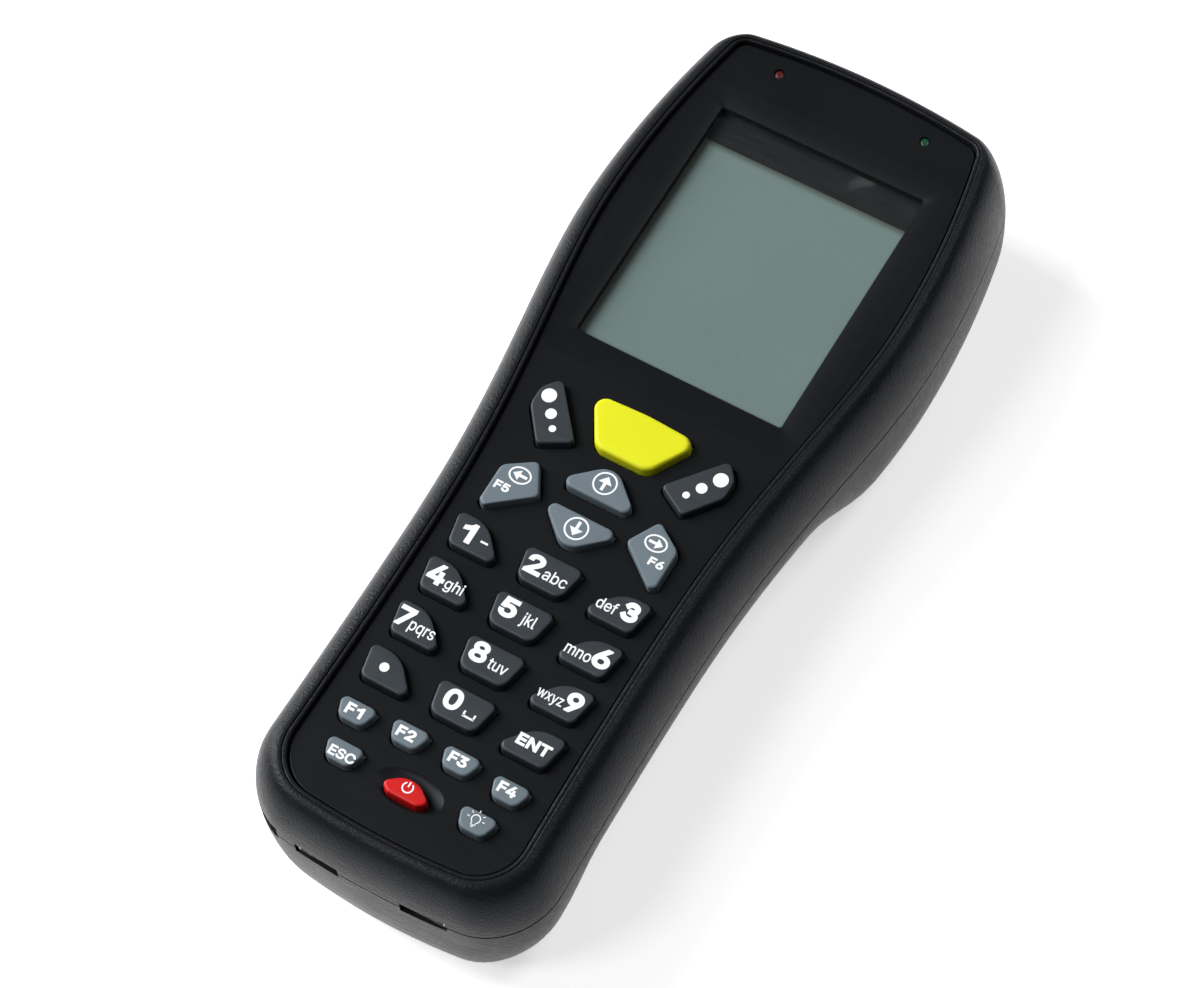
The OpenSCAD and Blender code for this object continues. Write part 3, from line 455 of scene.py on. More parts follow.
def rear_skin(name, skin, groove):
    """Closed shell of the rear half: the outside, then the inside a skin's thickness in."""
    outside = [back_ring(w, 0) for w in reversed(back_heights[1:])]
    lip = [(x, y, part_z(y) - groove) for x, y in rim_outline(0)]
    lip_in = [(x, y, part_z(y)) for x, y in rim_outline(0, groove)]
    inside = [back_ring(w, skin) for w in back_heights]
    rings = outside + [lip, lip_in] + inside
    count = len(rings[0])
    faces = cap_faces(0, count, False)
    for j in range(len(rings) - 1):
        faces += band_faces(j * count, (j + 1) * count, count)
    faces += cap_faces((len(rings) - 1) * count, count, True)
    return piece_from(name, loft_points(rings), faces, None)


def rear_solid(name, inset):
    """The rear half as one solid, an inset smaller all round."""
    rings = [back_ring(w, inset) for w in reversed(back_heights)]
    count = len(rings[0])
    faces = cap_faces(0, count, False)
    for j in range(len(rings) - 1):
        faces += band_faces(j * count, (j + 1) * count, count)
    faces += cap_faces((len(rings) - 1) * count, count, True)
    return piece_from(name, loft_points(rings), faces, None)


rear = rear_skin("rear_shell", wall, groove_w)
carve(rear, box_piece("bay_walls", [
    ((-bay_out_half, bay_y0 - bay_wall, bay_low),
     (bay_out_half, lid_end_y + lid_gap + bay_wall, bay_ceiling + bay_wall))]), "UNION")
carve(rear, box_piece("hinge_hood", [
    ((-bay_out_half + sliver, hinge_y - hinge_relief - bay_wall, bay_low + sliver),
     (bay_out_half - sliver, bay_y0, lid_room_z + bay_wall))]), "UNION")
window_frame = box_piece("window_frame", [
    ((-pane_w / 2 - frame_rim, pane_back, 1.2),
     (pane_w / 2 + frame_rim, half_len - 1.2, scan_open_z + pane_h / 2 + 0.6))])
carve(window_frame, rear_solid("frame_bounds", 0.7), "INTERSECT")
carve(rear, window_frame, "UNION")
post_rods = rod_piece("screw_posts", [(x, y, post_r, 1.1, port_z - 2.5) for x, y in posts])
carve(post_rods, rear_solid("post_bounds", 0.8), "INTERSECT")
carve(rear, post_rods, "UNION")
carve(rear, box_piece("lid_opening", [
    ((-lid_w / 2 - lid_gap, hinge_y - hinge_relief, -1),
     (lid_w / 2 + lid_gap, lid_end_y + lid_gap, lid_room_z))]))
carve(rear, box_piece("hinge_ears", [
    ((s * (ear_x0 + ear_w / 2) - ear_w / 2, hinge_y - hinge_relief - 0.5, arch_h),
     (s * (ear_x0 + ear_w / 2) + ear_w / 2, hinge_y + hinge_relief + 0.5, hinge_z + barrel_r + 0.6))
    for s in (-1, 1)]), "UNION")
carve(rear, box_piece("bay_room", [
    ((-bay_half, bay_y0, -1.5), (bay_half, bay_y1, bay_ceiling))]))
carve(rear, box_piece("scan_opening", [
    ((-scan_open_w / 2, half_len - 6, scan_open_z - scan_open_h / 2),
     (scan_open_w / 2, half_len + 6, scan_open_z + scan_open_h / 2))]))
carve(rear, box_piece("pane_slot", [
    ((-pane_w / 2, pane_back - 1, scan_open_z - pane_h / 2),
     (pane_w / 2, pane_y, scan_open_z + pane_h / 2))]))
carve(rear, rod_piece("screw_wells", [(x, y, screw_head_r + 0.3, -1, screw_seat_z) for x, y in posts]))
carve(rear, rod_piece("screw_holes", [(x, y, screw_hole_r, screw_seat_z - 1, port_z + 4) for x, y in posts]))
carve(rear, heel_openings())
settle(rear, shell_finish, math.radians(32))
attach(rear, "terminal")
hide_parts("rear_housing")

# ---------------------------------------------------------------- battery lid
# The cover of the battery bay, moulded in the same black ABS as the shell it lies flush in.
# Its barrel turns on a steel pin between two ears; three ribs by the free edge give a grip.

lid = rear_skin("battery_cover", lid_t, 0.1)
carve(lid, box_piece("lid_bounds", [
    ((-lid_w / 2, hinge_y, -1), (lid_w / 2, lid_end_y, lid_room_z))]), "INTERSECT")


def barrel_piece(name, half_length, r, sides=40):
    points, faces = [], []
    turns = [math.tau * i / sides for i in range(sides)]
    for x in (-half_length, half_length):
        points += [(x, hinge_y + r * math.cos(a), hinge_z + r * math.sin(a)) for a in turns]
    faces += band_faces(0, sides, sides)
    faces.append(tuple(range(sides)))
    faces.append(tuple(sides + i for i in reversed(range(sides))))
    return piece_from(name, points, faces, None)


barrel_half = ear_x0 - 0.2
pin_bore_r = 0.8
carve(lid, barrel_piece("lid_barrel", barrel_half, barrel_r), "UNION")
carve(lid, barrel_piece("pin_bore", barrel_half + 1, pin_bore_r))
carve(lid, box_piece("ear_room", [
    ((s * (ear_x0 - 0.2 + lid_w / 4) - lid_w / 4, hinge_y - hinge_relief - 1, -1),
     (s * (ear_x0 - 0.2 + lid_w / 4) + lid_w / 4, hinge_y + hinge_relief + 1, face_z / 2)) for s in (-1, 1)]))
grip_half_w = 9
grip_groove_w = 0.8
grip_groove_y = [lid_end_y - 5 - 2 * i for i in range(4)]
carve(lid, box_piece("grip_grooves", [
    ((-grip_half_w, y - grip_groove_w / 2, arch_h - 1),
     (grip_half_w, y + grip_groove_w / 2, arch_h + 0.5)) for y in grip_groove_y]))
settle(lid, shell_finish, math.radians(32))
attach(lid, "lid")
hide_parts("battery_lid")

# ---------------------------------------------------------------- front housing
# The front half of the body: a broad soft rim of the same textured black ABS. Its inner wall
# drops to a ledge that the faceplate is bonded to, and it meets the rear half at a fine groove.

plate_top = face_z - 0.7
plate_bottom = plate_top - 2
ledge_bottom = plate_bottom - 1.5
ledge_w = 1.8
crest_share = 0.82


def front_ring(a, extra=0.0):
    """Ring of the front shell at angle a: 0 on the parting line, a quarter turn at the crest."""
    ring = []
    for x, y in rim_outline(crest_share * (1 - math.cos(a)), extra):
        z0 = part_z(y)
        ring.append((x, y, z0 + (crest_z - extra - z0) * math.sin(a)))
    return ring


def level_ring(u, z, extra=0.0):
    return [(x, y, z) for x, y in rim_outline(u, extra)]


front_turns = [math.pi / 2 * i / 26 for i in range(27)]
front_rings = [[(x, y, part_z(y)) for x, y in rim_outline(0, groove_w)],
               [(x, y, part_z(y) + groove_w) for x, y in rim_outline(0)]]
front_rings += [front_ring(a) for a in front_turns[1:]]
# Share of the rim in from the outside, and depth under the crest: the fine groove and inner bead
bead = ((0.845, 0.05), (0.858, 0.14), (0.867, 0.42), (0.880, 0.42), (0.889, 0.18), (0.915, 0.12),
        (0.955, 0.16), (0.982, 0.27), (0.996, 0.4), (1, 0.55))
front_rings += [level_ring(share, crest_z - depth) for share, depth in bead]
front_rings += [level_ring(1, plate_bottom), level_ring(1, plate_bottom, ledge_w),
                level_ring(1, ledge_bottom, ledge_w)]
front_rings.append([(x, y, min(z, ledge_bottom)) for x, y, z in front_ring(math.radians(48), wall)])
front_rings += [[(x, y, min(z, ledge_bottom - 0.1)) for x, y, z in front_ring(math.radians(a), wall)]
                for a in (36, 22, 10)]
front_rings.append([(x, y, part_z(y)) for x, y in rim_outline(0, wall)])
ring_size = len(front_rings[0])
front_faces = []
for j in range(len(front_rings)):
    front_faces += band_faces(j * ring_size, (j + 1) % len(front_rings) * ring_size, ring_size)
front = piece_from("front_rim", loft_points(front_rings), front_faces, None)
carve(front, heel_openings())
settle(front, shell_finish, math.radians(32))
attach(front, "terminal")
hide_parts("front_housing")

# ---------------------------------------------------------------- keys: their outlines
# Every key is a hard cap on the rubber mat, straight-sided in plan with rounded corners.
# Their outlines are needed first for the holes in the faceplate.

digit_w = 10.8
digit_h = 6.2
column_x = 12.9
row_pitch = 8.93
digit_back = 25.6
function_w = 7.3
function_h = 3.9
function_pitch = 9.5
function_back = 60.6
function_drop = 0.6
escape_x = 12.35
escape_back = 68.1
power_w = 7.6
power_h = 4
arrow_w = 15.8
arrow_h = 7.2
up_back = 7
down_back = 17.5
cursor_x = 12.4
cursor_back = 14.5
cursor_w = 8.6
cursor_h = 11.4
dotted_x = 13.2
dotted_back = 0.2
dotted_w = 10.4
dotted_h = 12.5
scan_w = 20.4
scan_h = 8.8
scan_y = 2
corner_turns = 9


def rounded(corners, dx=0.0, dy=0.0, mirror=1):
    """Plan of a key from its (x, y, radius) corners, anticlockwise."""
    count = len(corners)
    plan = []
    for i in range(count):
        p = Vector(corners[i][:2])
        u = (Vector(corners[i - 1][:2]) - p).normalized()
        v = (Vector(corners[(i + 1) % count][:2]) - p).normalized()
        half = math.acos(u.dot(v)) / 2
        r = corners[i][2]
        middle = p + (u + v).normalized() * r / math.sin(half)
        a0 = p + u * r / math.tan(half) - middle
        a1 = p + v * r / math.tan(half) - middle
        start = math.atan2(a0.y, a0.x)
        sweep = (math.atan2(a1.y, a1.x) - start + 2 * math.tau) % math.tau
        if sweep > math.pi:
            sweep -= math.tau
        for k in range(corner_turns + 1):
            a = start + sweep * k / corner_turns
            plan.append((middle.x + r * math.cos(a), middle.y + r * math.sin(a)))
    plan = [(mirror * (x + dx), y + dy) for x, y in plan]
    return plan if mirror > 0 else plan[::-1]


leaf_key = [(-digit_w * 0.39, -digit_h / 2, 1.3), (digit_w / 2, -digit_h / 2, 1.1),
            (digit_w * 0.01, digit_h / 2, 6), (-digit_w / 2, digit_h / 2, 1.1)]
middle_key = [(-digit_w * 0.39, -digit_h / 2, 1.9), (digit_w * 0.39, -digit_h / 2, 1.9),
              (digit_w / 2, digit_h / 2, 1.2), (-digit_w / 2, digit_h / 2, 1.2)]
function_key = [(-function_w * 0.31, -function_h / 2, 1.6), (function_w * 0.31, -function_h / 2, 1.6),
                (function_w / 2, function_h / 2, 1.1), (-function_w / 2, function_h / 2, 1.1)]
up_key = [(-arrow_w / 2, -arrow_h / 2, 1.2), (arrow_w / 2, -arrow_h / 2, 1.2), (0, arrow_h / 2, 3.4)]
down_key = [(0, -arrow_h / 2, 3.4), (arrow_w / 2, arrow_h / 2, 1.2), (-arrow_w / 2, arrow_h / 2, 1.2)]
cursor_key = [(-cursor_w / 2, -cursor_h * 0.43, 0.8), (-cursor_w * 0.37, -cursor_h / 2, 0.6),
              (cursor_w / 2, 0, 1), (cursor_w * 0.12, cursor_h / 2, 0.9),
              (-cursor_w / 2, cursor_h * 0.2, 1.8)]
dotted_key = [(-dotted_w * 0.045, -dotted_h / 2, 0.8), (dotted_w / 2, -dotted_h * 0.25, 0.8),
              (-dotted_w * 0.26, dotted_h / 2, 1), (-dotted_w / 2, dotted_h * 0.27, 3),
              (-dotted_w / 2, -dotted_h * 0.02, 3)]
scan_key = [(-scan_w * 0.245, -scan_h / 2, 3), (scan_w * 0.245, -scan_h / 2, 3),
            (scan_w / 2, scan_h / 2, 1.9), (0, scan_h * 0.56, 30), (-scan_w / 2, scan_h / 2, 1.9)]
power_key = [(-power_w * 0.36, -power_h / 2, 0.8), (power_w * 0.36, -power_h / 2, 0.8),
             (power_w * 0.6, -power_h * 0.18, 0.9), (0, power_h * 0.72, 4.2),
             (-power_w * 0.6, -power_h * 0.18, 0.9)]


def row_y(n):
    return -digit_back - row_pitch * n


key_plans = {
    "scan": rounded(scan_key, 0, scan_y),
    "dotted_left": rounded(dotted_key, -dotted_x, -dotted_back),
    "dotted_right": rounded(dotted_key, -dotted_x, -dotted_back, -1),
    "f5": rounded(cursor_key, -cursor_x, -cursor_back),
    "f6": rounded(cursor_key, -cursor_x, -cursor_back, -1),
    "up": rounded(up_key, 0, -up_back),
    "down": rounded(down_key, 0, -down_back),
    "escape": rounded(function_key, -escape_x, -escape_back),
    "lamp": rounded(function_key, -escape_x, -escape_back, -1),
    "power": rounded(power_key, 0, -escape_back - 0.4),
}
for row, names in enumerate((("1", "2", "3"), ("4", "5", "6"), ("7", "8", "9"), ("point", "0", "enter"))):
    key_plans[names[0]] = rounded(leaf_key, -column_x, row_y(row))
    key_plans[names[1]] = rounded(middle_key, 0, row_y(row))
    key_plans[names[2]] = rounded(leaf_key, -column_x, row_y(row), -1)
for n in range(4):
    drop = function_drop if n in (0, 3) else 0
    key_plans[f"f{n + 1}"] = rounded(function_key, function_pitch * (n - 1.5), -function_back - drop)


def plan_box(plan):
    """Middle and half sizes of a plan."""
    xs = [p[0] for p in plan]
    ys = [p[1] for p in plan]
    return ((min(xs) + max(xs)) / 2, (min(ys) + max(ys)) / 2,
            (max(xs) - min(xs)) / 2, (max(ys) - min(ys)) / 2)


def grown(plan, d):
    """The plan grown by d on every side, or drawn in where d is negative."""
    cx, cy, hx, hy = plan_box(plan)
    return [(cx + (x - cx) * (hx + d) / hx, cy + (y - cy) * (hy + d) / hy) for x, y in plan]


def stacked(name, stacks, material=None, crease=math.radians(40)):
    """Solids between stacked rings: each stack is a list of (plan, z) from bottom to top."""
    points, faces = [], []
    for stack in stacks:
        first = len(points)
        count = len(stack[0][0])
        for plan, z in stack:
            points += [(x, y, z) for x, y in plan]
        for j in range(len(stack) - 1):
            faces += band_faces(first + j * count, first + (j + 1) * count, count)
        faces.append(tuple(first + i for i in reversed(range(count))))
        faces.append(tuple(first + (len(stack) - 1) * count + i for i in range(count)))
    return piece_from(name, points, faces, material, crease)


# ---------------------------------------------------------------- faceplate
# A flat black plate, smoother than the rim, bonded into the rim with a hairline gap round it.
# A shallow dish with a soft crest leads down to the display, and a hollow rings the power key.

plate_gap = 0.3
key_gap = 0.25
window_w = 38.5
window_h = 48.2
window_y = 40.2
dish_drop = 0.8
dish_w = 5
window_lip = 1.1
window_top = plate_top - dish_drop - 0.5
led_r = 0.9
led_x = 14
led_y = 74.2
hollow_w = 6.1
hollow_h = 3.2
hollow_drop = 0.5
hollow_sides = 72

plate_black = (0.0066, 0.0070, 0.0080)
plate_finish = moulded("smooth_black", plate_black, 0.4, 0.16, 0.22, sheen=0.12, uneven=0.015)


def rounded_box(w, h, r, y=0.0):
    return rounded([(-w / 2, -h / 2, r), (w / 2, -h / 2, r), (w / 2, h / 2, r), (-w / 2, h / 2, r)], 0, y)


def round_plan(x, y, rx, ry, sides):
    """Circle or ellipse about (x, y)."""
    turns = [math.tau * i / sides for i in range(sides)]
    return [(x + rx * math.cos(a), y + ry * math.sin(a)) for a in turns]


edge_r = 0.22
plate_rings = [(rim_outline(1, plate_gap), plate_bottom), (rim_outline(1, plate_gap), plate_top - edge_r)]
for i in range(1, 5):
    a = math.pi / 2 * i / 4
    plate_rings.append((rim_outline(1, plate_gap + edge_r * (1 - math.cos(a))),
                        plate_top - edge_r * (1 - math.sin(a))))
plate = stacked("front_plate", [plate_rings])

# The dish falls towards the window, and ends on a small chamfer at the window's edge
edge_w = 0.25
dish_shift = dish_w / 8
dish_steps = 12
dish_rings = [(rounded_box(window_w - edge_w, window_h - edge_w, 0.4, window_y),
               plate_top - dish_drop - 1.5 * edge_w)]
for i in range(dish_steps + 1):
    t = (edge_w / dish_w if i == 0 else i / dish_steps)
    drop = dish_drop * (0.5 * (1 - t) + 0.5 * (1 - t) ** 3)
    dish_rings.append((rounded_box(window_w + 2 * dish_w * t, window_h + 2 * dish_w * t, 0.5 + 3.2 * t,
                                   window_y - dish_shift * t), plate_top - drop))
dish_rings.append((rounded_box(window_w + 2 * dish_w + 0.5, window_h + 2 * dish_w + 0.5, 3.8,
                               window_y - dish_shift), plate_top + 0.5))
carve(plate, stacked("dish", [dish_rings]))
carve(plate, stacked("window_hole", [
    [(rounded_box(window_w, window_h, 0.5, window_y), plate_bottom - 1),
     (rounded_box(window_w, window_h, 0.5, window_y), plate_top + 1)]]))
carve(plate, stacked("window_seat", [
    [(rounded_box(window_w + 2 * window_lip, window_h + 2 * window_lip, 1.2, window_y), plate_bottom - 1),
     (rounded_box(window_w + 2 * window_lip, window_h + 2 * window_lip, 1.2, window_y), window_top)]]))
carve(plate, stacked("key_holes", [
    [(grown(plan, key_gap), plate_bottom - 1), (grown(plan, key_gap), plate_top - 0.15),
     (grown(plan, key_gap + 0.15), plate_top), (grown(plan, key_gap + 0.4), plate_top + 0.25)]
    for plan in key_plans.values()]))
hollow_rings = []
for i in range(9):
    t = i / 8
    hollow_rings.append((round_plan(0, -escape_back, hollow_w * (0.45 + 0.55 * t),
                                    hollow_h * (0.6 + 0.4 * t), hollow_sides),
                         plate_top - hollow_drop * (1 - t * t)))
hollow_rings.append((round_plan(0, -escape_back, hollow_w * 1.03, hollow_h * 1.03, hollow_sides),
                     plate_top + 0.3))
carve(plate, stacked("power_hollow", [hollow_rings]))
carve(plate, rod_piece("lamp_holes", [
    (s * led_x, led_y, led_r + 0.02, plate_bottom - 1, plate_top + 1) for s in (-1, 1)]))
settle(plate, plate_finish, math.radians(22))

# Where the dish and the hollow begin, the flat face ends on a crisp line
plate_form = bmesh.new()
plate_form.from_mesh(plate.data)
for edge in plate_form.edges:
    flats = [face.normal.z > 0.99999 for face in edge.link_faces]
    if any(flats) and not all(flats):
        edge.smooth = False
plate_form.to_mesh(plate.data)
plate_form.free()
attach(plate, "terminal")
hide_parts("faceplate")

# ---------------------------------------------------------------- display
# A reflective liquid-crystal cell, grey-green when off, under a thin clear pane that is bonded
# to the underside of the plate. A black printed band on the cell hides its driver at the top.

pane_top = window_top
pane_t = 1
glass_top = pane_top - pane_t - 0.3
glass_t = 1.6
cell_w = window_w + 3.8
cell_h = window_h + 3.8
band_h = 5.6
band_y = window_y + window_h / 2 - band_h
cell_grey = (0.186, 0.268, 0.255)
painted_shadow_mm = 1.5


def cell_material():
    """Polariser over the cell: matt grey-green, with a painted shadow of the window's walls darkening it
    along the band and the left edge.
    """
    material, tree, output = new_material("grey_green_cell")
    shader = add_node(tree, "BsdfPrincipled", {"Roughness": 0.42})
    place = add_node(tree, "TexCoord")
    axes = add_node(tree, "SeparateXYZ")
    drift = add_node(tree, "TexNoise", {"Scale": 22, "Detail": 2})
    fine = add_node(tree, "TexNoise", {"Scale": 6000})
    tones = add_node(tree, "ValToRGB")
    for end, spot, share in ((0, 0.25, 0.93), (1, 0.75, 1.06)):
        tones.color_ramp.elements[end].position = spot
        tones.color_ramp.elements[end].color = (*[c * share for c in cell_grey], 1)
    bump = add_node(tree, "Bump", {"Strength": 0.08, "Distance": 0.02 * MM})
    # Painted shadow of the window's walls: the cell turns dark grey-green towards the band and the left edge
    # of the window
    painted_shadow_share = add_node(tree, "Math", operation="MAXIMUM")
    painted_shadow_mix = add_node(tree, "Mix", {"B": (0.085, 0.1, 0.08, 1)}, data_type="RGBA")
    wire(tree, (place, "Object", axes, "Vector"))
    for i, (axis, clear, dark) in enumerate((("Y", band_y - painted_shadow_mm, band_y + 0.1),
                                             ("X", painted_shadow_mm - window_w / 2, -window_w / 2))):
        shade = add_node(tree, "MapRange", {"From Min": clear * MM, "From Max": dark * MM},
                         interpolation_type="SMOOTHSTEP")
        wire(tree, (axes, axis, shade, "Value"), (shade, "Result", painted_shadow_share, i))
    wire(tree, (place, "Object", drift, "Vector"), (place, "Object", fine, "Vector"),
         (drift, "Fac", tones, "Fac"), (painted_shadow_share, 0, painted_shadow_mix, "Factor"), (tones, "Color", painted_shadow_mix, "A"),
         (painted_shadow_mix, "Result", shader, "Base Color"), (fine, "Fac", bump, "Height"),
         (bump, "Normal", shader, "Normal"), (shader, 0, output, "Surface"))
    return material


def clear_material(name, tint, opacity, roughness=0.06):
    """Thin clear plastic: mostly seen through, with its gloss and a few dust specks."""
    material, tree, output = new_material(name)
    shader = add_node(tree, "BsdfPrincipled", {"Base Color": (*tint, 1), "Specular IOR Level": 0.6})
    place = add_node(tree, "TexCoord")
    specks = add_node(tree, "TexNoise", {"Scale": 900})
    gloss = add_node(tree, "MapRange", {"From Min": 0.55, "From Max": 0.8,
                                        "To Min": roughness, "To Max": roughness + 0.1})
    cover = add_node(tree, "MapRange", {"From Min": 0.55, "From Max": 0.85,
                                        "To Min": opacity, "To Max": opacity + 0.03})
    wire(tree, (place, "Object", specks, "Vector"), (specks, "Fac", gloss, "Value"),
         (specks, "Fac", cover, "Value"), (gloss, "Result", shader, "Roughness"),
         (cover, "Result", shader, "Alpha"), (shader, 0, output, "Surface"))
    return material


cell_plan = rounded_box(cell_w, cell_h, 0.4, window_y)
cell = stacked("display_cell", [[(cell_plan, glass_top - glass_t), (cell_plan, glass_top)]], cell_material())
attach(cell, "terminal")
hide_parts("display_glass")

band_top = window_y + cell_h / 2
band_plan = rounded([(-cell_w / 2, band_y, 0.05), (cell_w / 2, band_y, 0.05),
                     (cell_w / 2, band_top, 0.3), (-cell_w / 2, band_top, 0.3)])
band = stacked("display_band", [[(band_plan, glass_top), (band_plan, glass_top + 0.06)]],
               moulded("printed_black", (0.012, 0.012, 0.013), 0.4, 0.4, 0.1))
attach(band, "terminal")

pane_plan = rounded_box(window_w + 2 * window_lip - 0.2, window_h + 2 * window_lip - 0.2, 1.1, window_y)
pane_low = grown(pane_plan, -0.1)
pane = stacked("display_pane", [[(pane_low, pane_top - pane_t), (pane_plan, pane_top - pane_t + 0.1),
                                 (pane_plan, pane_top)]],
               clear_material("clear_pane", (0.02, 0.025, 0.025), 0.1))
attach(pane, "terminal")
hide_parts("display_window")

# ---------------------------------------------------------------- status lamps
# Two small lamps with domed lenses of cast epoxy, unlit, in holes at the head of the plate:
# a dark red one on the left and a dark green one on the right.

board_top = port_z + 1.3 + 1.2
lamp_foot_r = 1.4
dome_z = plate_top - 0.55


def lamp_piece(name, node, x, colour):
    """Lamp on the board: a broader foot, a round stem and a low dome just under the plate's face."""
    rings = [(lamp_foot_r, board_top), (lamp_foot_r, board_top + 1.4),
             (led_r, board_top + 1.4), (led_r, dome_z)]
    for i in range(1, 7):
        a = math.pi / 2 * i / 7
        rings.append((led_r * math.cos(a), dome_z + 0.4 * math.sin(a)))
    made = stacked(name, [[(round_plan(x, led_y, r, r, 36), z) for r, z in rings]],
                   moulded(name + "_lens", colour, 0.3, 0.5, 0.05, sheen=0.3))
    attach(made, "terminal")
    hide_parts(node)


lamp_piece("red_lamp", "led_red", -led_x, (0.085, 0.014, 0.012))
lamp_piece("green_lamp", "led_green", led_x, (0.010, 0.055, 0.022))

# ---------------------------------------------------------------- keys
# Hard caps with drafted sides and softly rounded top edges, standing 1.5 mm proud, each on a
# flange and a plunger. Number and letter keys are dark grey, function keys blue-grey, the
# scan key yellow and the power key red.

key_top = plate_top + 1.5
flange_bottom = plate_bottom - 0.8
plunger_bottom = board_top + 1.2
plunger_r = 1.5
flange_w = 0.7
key_draft = 0.06
crown_r = 0.5
scan_crown_r = 0.8
scan_rise = 0.2

dark_key = moulded("dark_grey_key", (0.026, 0.031, 0.036), 0.46, 0.2, 0.2, sheen=0.35)
pale_key = moulded("blue_grey_key", (0.128, 0.160, 0.184), 0.46, 0.2, 0.2, tone=0.06, sheen=0.35)
yellow_key = moulded("yellow_key", (0.68, 0.69, 0.014), 0.42, 0.2, 0.15, tone=0.03, sheen=0.2)
red_key = moulded("red_key", (0.54, 0.010, 0.008), 0.36, 0.2, 0.12, tone=0.05, sheen=0.3)
pale_names = ("f1", "f2", "f3", "f4", "f5", "f6", "up", "down", "escape", "lamp")


def key_surface(name):
    if name == "scan":
        return yellow_key, "key_yellow"
    if name == "power":
        return red_key, "key_red"
    if name in pale_names:
        return pale_key, "key_pale"
    return dark_key, "key_dark"


def key_piece(name, plan):
    """Flange, straight foot and rounded crown from one plan, with the plunger under its middle."""
    top = key_top + (scan_rise if name == "scan" else 0)
    edge = scan_crown_r if name == "scan" else crown_r
    cx, cy, _, _ = plan_box(plan)
    flange = grown(plan, flange_w)
    crown = [(flange, flange_bottom), (flange, plate_bottom), (plan, plate_bottom), (plan, plate_top),
             (grown(plan, -key_draft), top - edge)]
    for i in range(1, 8):
        a = math.pi / 2 * i / 7
        crown.append((grown(plan, -key_draft - edge * 0.85 * (1 - math.cos(a))),
                      top - edge + edge * math.sin(a) * 0.98))
    crown.append((grown(plan, -key_draft - edge * 1.4), top))
    stem = round_plan(cx, cy, plunger_r, plunger_r, 24)
    material, slot = key_surface(name)
    made = stacked("cap_" + name, [crown, [(stem, plunger_bottom), (stem, flange_bottom)]],
                   material, math.radians(50))
    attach(made, "key_" + name)
    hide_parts("key_" + name)


for name, plan in key_plans.items():
    key_piece(name, plan)

# ---------------------------------------------------------------- legends on the keys
# White ink printed on the caps: heavy numerals with light letters beside them, heavy function
# names, ringed arrows, dots of three sizes, a bulb and a power sign.

ink_t = 0.035
curve_steps = 5
font_folder = os.path.join(bpy.utils.resource_path("LOCAL"), "datafiles", "fonts")
sans = bpy.data.fonts.load(os.path.join(font_folder, "Inter.woff2"))
ink_white = moulded("white_ink", (0.83, 0.85, 0.87), 0.5, 0.3, 0.1, tone=0.02)


def font_outlines(text):
    """Closed outlines of a word, each a list of points with the inside on the left."""
    face = bpy.data.curves.new("letters", "FONT")
    face.body = text
    face.font = sans
    held = bpy.data.objects.new("letters", face)
    bpy.context.scene.collection.objects.link(held)
    loops = []
    for spline in held.to_curve(bpy.context.evaluated_depsgraph_get()).splines:
        knots = list(spline.bezier_points)
        loop = []
        for a, b in zip(knots, knots[1:] + knots[:1]):
            loop += interpolate_bezier(a.co, a.handle_right, b.handle_left, b.co, curve_steps)[:-1]
        loops.append([p.to_2d() for p in loop])
    bpy.data.objects.remove(held)
    area = sum(a.x * b.y - a.y * b.x for loop in loops for a, b in zip(loop, loop[1:] + loop[:1]))
    return loops if area > 0 else [loop[::-1] for loop in loops]


def moved_out(loop, spread):
    """The outline with every edge moved out by the spread, and its corners kept sharp."""
    loop = [p for i, p in enumerate(loop) if (p - loop[i - 1]).length > 1e-3]
    moved = []
    for i, p in enumerate(loop):
        u = (p - loop[i - 1]).normalized()
        v = (loop[(i + 1) % len(loop)] - p).normalized()
        out_u, out_v = Vector((u.y, -u.x)), Vector((v.y, -v.x))
        if u.x * v.y - u.y * v.x < -1e-3:
            moved += [p + out_u * spread, p, p + out_v * spread]
        elif u.dot(v) < -0.3:
            moved += [p + (out_u + u) * spread, p + (out_v - v) * spread]
        else:
            moved.append(p + (out_u + out_v) / (1 + out_u.dot(out_v)) * spread)
    return moved


def bowl(cx, cy, rx, ry, start, end, steps=14):
    """Points along an ellipse from one angle to another, in degrees."""
    turns = [math.radians(start + (end - start) * i / steps) for i in range(steps + 1)]
    return [Vector((cx + rx * math.cos(a), cy + ry * math.sin(a))) for a in turns]


# Two of the numerals: a one without a foot, and a three of two round bowls
plain_one = [Vector(p) for p in (
    (1.25, 0), (1.82, 0), (1.82, 3.22), (1.4, 3.22), (1.15, 2.93), (0.75, 2.68), (0, 2.45),
    (0, 2.08), (0.65, 2.22), (1.25, 2.52))]
three_line = bowl(0.93, 2.0, 0.9, 0.64, 160, -90) + bowl(0.95, 0.68, 1.05, 0.68, 90, -160)
own_outlines = {"1": [plain_one], "3": [moved_out(three_line + three_line[-2:0:-1], 0.24)]}


